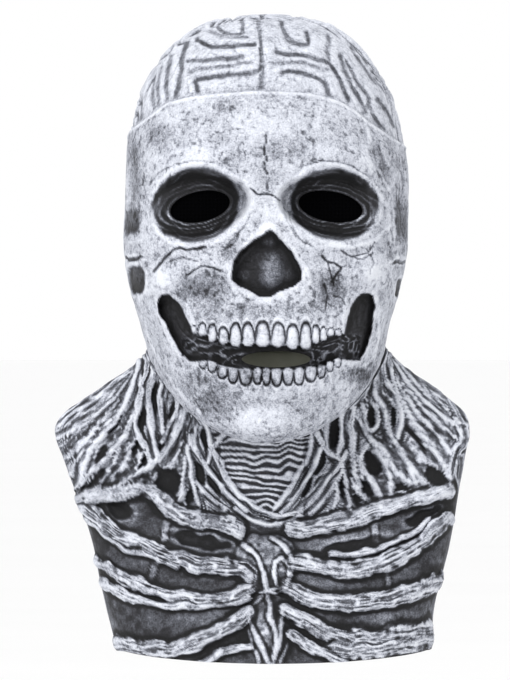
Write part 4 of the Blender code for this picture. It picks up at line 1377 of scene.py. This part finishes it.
class SkullMaskPaint(PropertyGroup):
    """Colours of the stage."""

    sky_colour: FloatVectorProperty(
        name="Sky colour", description="Colour of the white surroundings", size=3,
        subtype="COLOR", min=0.0, max=1.0, default=(1.0, 1.0, 1.0))
    studio_light: FloatProperty(
        name="Studio light", description="Strength of the even light all round", min=0.0,
        default=1.0)


class SkullMaskSizes(PropertyGroup):
    """Sizes a maker would change."""

    floor_drop: FloatProperty(
        name="Floor drop", description="How far the floor lies under the hanging hem",
        unit="LENGTH", min=0.0, default=0.25)
    hole_corners: IntProperty(
        name="Hole corners", description="Corners of each cut hole", min=12, default=96)
    camera_distance: FloatProperty(
        name="Camera distance", description="How far the camera stands from the mask",
        unit="LENGTH", min=1.0, default=6.0)


class MASK_OT_brain_crown(Operator):
    """Model the folded brain crown above the skull's edge"""

    bl_idname = "skull_mask.brain_crown"
    bl_label = "Brain crown"

    def execute(self, context):
        skin = build_skin()
        piece = skin_piece("brain_crown", 0, skin["rim_row"])
        finish_piece(piece, "dry_brushed_latex", "mask_skin")
        return {"FINISHED"}


class MASK_OT_skull_face(Operator):
    """Model the skull with its sockets, nose, cheek hollows, teeth and jaw"""

    bl_idname = "skull_mask.skull_face"
    bl_label = "Skull face"

    def execute(self, context):
        skin = build_skin()
        corners = context.scene.skull_mask_sizes.hole_corners
        piece = skin_piece("skull_face", skin["rim_row"], skin["chin_row"])
        for row in (*EYE_HOLES, MOUTH_HOLE):
            cut_away(piece, oval_block(row, 0.0, CUT_NEAR, CUT_FAR, corners))
        finish_piece(piece, "dry_brushed_latex", "mask_skin")
        return {"FINISHED"}


class MASK_OT_neck_and_bib(Operator):
    """Model the neck, windpipe, sinews, ribs and the slit bib"""

    bl_idname = "skull_mask.neck_and_bib"
    bl_label = "Neck and bib"

    def execute(self, context):
        skin = build_skin()
        piece = skin_piece("neck_and_bib", skin["chin_row"], skin["rows"] - 1)
        cut_away(piece, slit_block())
        finish_piece(piece, "dry_brushed_latex", "mask_skin")
        return {"FINISHED"}


class MASK_OT_eye_gauze(Operator):
    """Model the black gauze behind the two eye holes"""

    bl_idname = "skull_mask.eye_gauze"
    bl_label = "Eye gauze"

    def execute(self, context):
        corners = context.scene.skull_mask_sizes.hole_corners
        near = -EYE_FLOOR + WALL + GAUZE_GAP
        for side, row in zip(("left", "right"), EYE_HOLES):
            piece = oval_block(row, GAUZE_MARGIN, near, near + GAUZE_THICKNESS, corners)
            piece.name = "gauze_" + side
            piece.data.name = piece.name
            piece.data.materials.append(material("gauze"))
            finish_piece(piece, "black_gauze", "eye_mesh_" + side, angle=40.0)
        return {"FINISHED"}


def area_light(name, location, target, size, energy):
    deselect()
    bpy.ops.object.light_add(type="AREA", location=location)
    lamp = bpy.context.object
    lamp.name = name
    lamp.data.name = name
    lamp.data.shape = "RECTANGLE"
    lamp.data.size, lamp.data.size_y = size
    lamp.data.energy = energy
    direction = np.array(target) - np.array(location)
    flat = math.hypot(direction[0], direction[1])
    lamp.rotation_euler = (math.atan2(flat, -direction[2]), 0.0,
                           math.atan2(-direction[0], direction[1]))


class MASK_OT_stage(Operator):
    """Set up the pale floor, the even studio light and the camera"""

    bl_idname = "skull_mask.stage"
    bl_label = "Stage"

    def execute(self, context):
        sizes = context.scene.skull_mask_sizes
        paint = context.scene.skull_mask_paint
        hem = CAD_BOX[0][2]
        level = hem - sizes.floor_drop
        deselect()
        bpy.ops.mesh.primitive_plane_add(size=FLOOR_SIZE, location=(0.0, 0.0, level))
        floor = bpy.context.object
        bpy.ops.object.transform_apply(location=True, rotation=True, scale=True)
        floor.name = "studio_floor"
        mat, tree, shader = new_material("matt_white_floor", {"Roughness": 0.9})
        place = add_node(tree, "ShaderNodeTexCoord").outputs["Object"]
        cloud = add_node(tree, "ShaderNodeTexNoise", None,
                         {"Vector": place, "Scale": 2.0}).outputs["Fac"]
        ramp = add_node(tree, "ShaderNodeValToRGB", None, {"Fac": cloud})
        set_ramp(ramp, ((0.0, "#FAFAFA"), (1.0, "#FDFDFD")))
        tree.links.new(ramp.outputs["Color"], shader.inputs["Base Color"])
        floor.data.materials.append(mat)
        world = bpy.data.worlds.new("studio")
        world.use_nodes = True
        sky = world.node_tree.nodes["Background"]
        sky.inputs["Color"].default_value = (*paint.sky_colour, 1.0)
        sky.inputs["Strength"].default_value = paint.studio_light
        bpy.context.scene.world = world
        bpy.context.scene.view_settings.view_transform = "Standard"
        for name, location, size, energy in LAMPS:
            area_light(name, location, LAMP_TARGET, size, energy)
        self.set_camera(sizes.camera_distance)
        return {"FINISHED"}

    def set_camera(self, distance):
        photo_wide, photo_tall = 510, 680
        middle_across, middle_down = photo_wide / 2.0, photo_tall / 2.0
        near_plane = 0.04
        deselect()
        bpy.ops.object.camera_add(
            location=((middle_across - CENTRE) * PLAN * MM, -distance,
                      (WALL - (middle_down - CROWN) * PLAN) * MM),
            rotation=(math.pi / 2.0, 0.0, 0.0))
        camera = bpy.context.object
        camera.name = "photo_camera"
        camera.data.sensor_fit = "AUTO"
        camera.data.sensor_width = SENSOR_WIDTH
        camera.data.lens = SENSOR_WIDTH * (distance - near_plane) / (photo_tall * PLAN * MM)
        camera.data.clip_end = CLIP_END
        bpy.context.scene.camera = camera


class MASK_PT_panel(Panel):
    """Lists the mask's pieces in the sidebar"""

    bl_idname = "MASK_PT_panel"
    bl_label = "Skull Mask"
    bl_space_type = "VIEW_3D"
    bl_region_type = "UI"
    bl_category = "Skull Mask"

    def draw(self, context):
        layout = self.layout
        for settings in (context.scene.skull_mask_sizes, context.scene.skull_mask_paint):
            for name in settings.__annotations__:
                layout.prop(settings, name)
        for operator in OPERATORS:
            layout.operator(operator.bl_idname)


OPERATORS = (MASK_OT_brain_crown, MASK_OT_skull_face, MASK_OT_neck_and_bib, MASK_OT_eye_gauze,
             MASK_OT_stage)
CLASSES = (SkullMaskPaint, SkullMaskSizes, *OPERATORS, MASK_PT_panel)


def register():
    for cls in CLASSES:
        bpy.utils.register_class(cls)
    bpy.types.Scene.skull_mask_paint = PointerProperty(type=SkullMaskPaint)
    bpy.types.Scene.skull_mask_sizes = PointerProperty(type=SkullMaskSizes)


def unregister():
    del bpy.types.Scene.skull_mask_sizes
    del bpy.types.Scene.skull_mask_paint
    for cls in reversed(CLASSES):
        bpy.utils.unregister_class(cls)


def main():
    register()
    bpy.ops.skull_mask.brain_crown()
    bpy.ops.skull_mask.skull_face()
    bpy.ops.skull_mask.neck_and_bib()
    bpy.ops.skull_mask.eye_gauze()
    bpy.ops.skull_mask.stage()


if __name__ == "__main__":
    main()
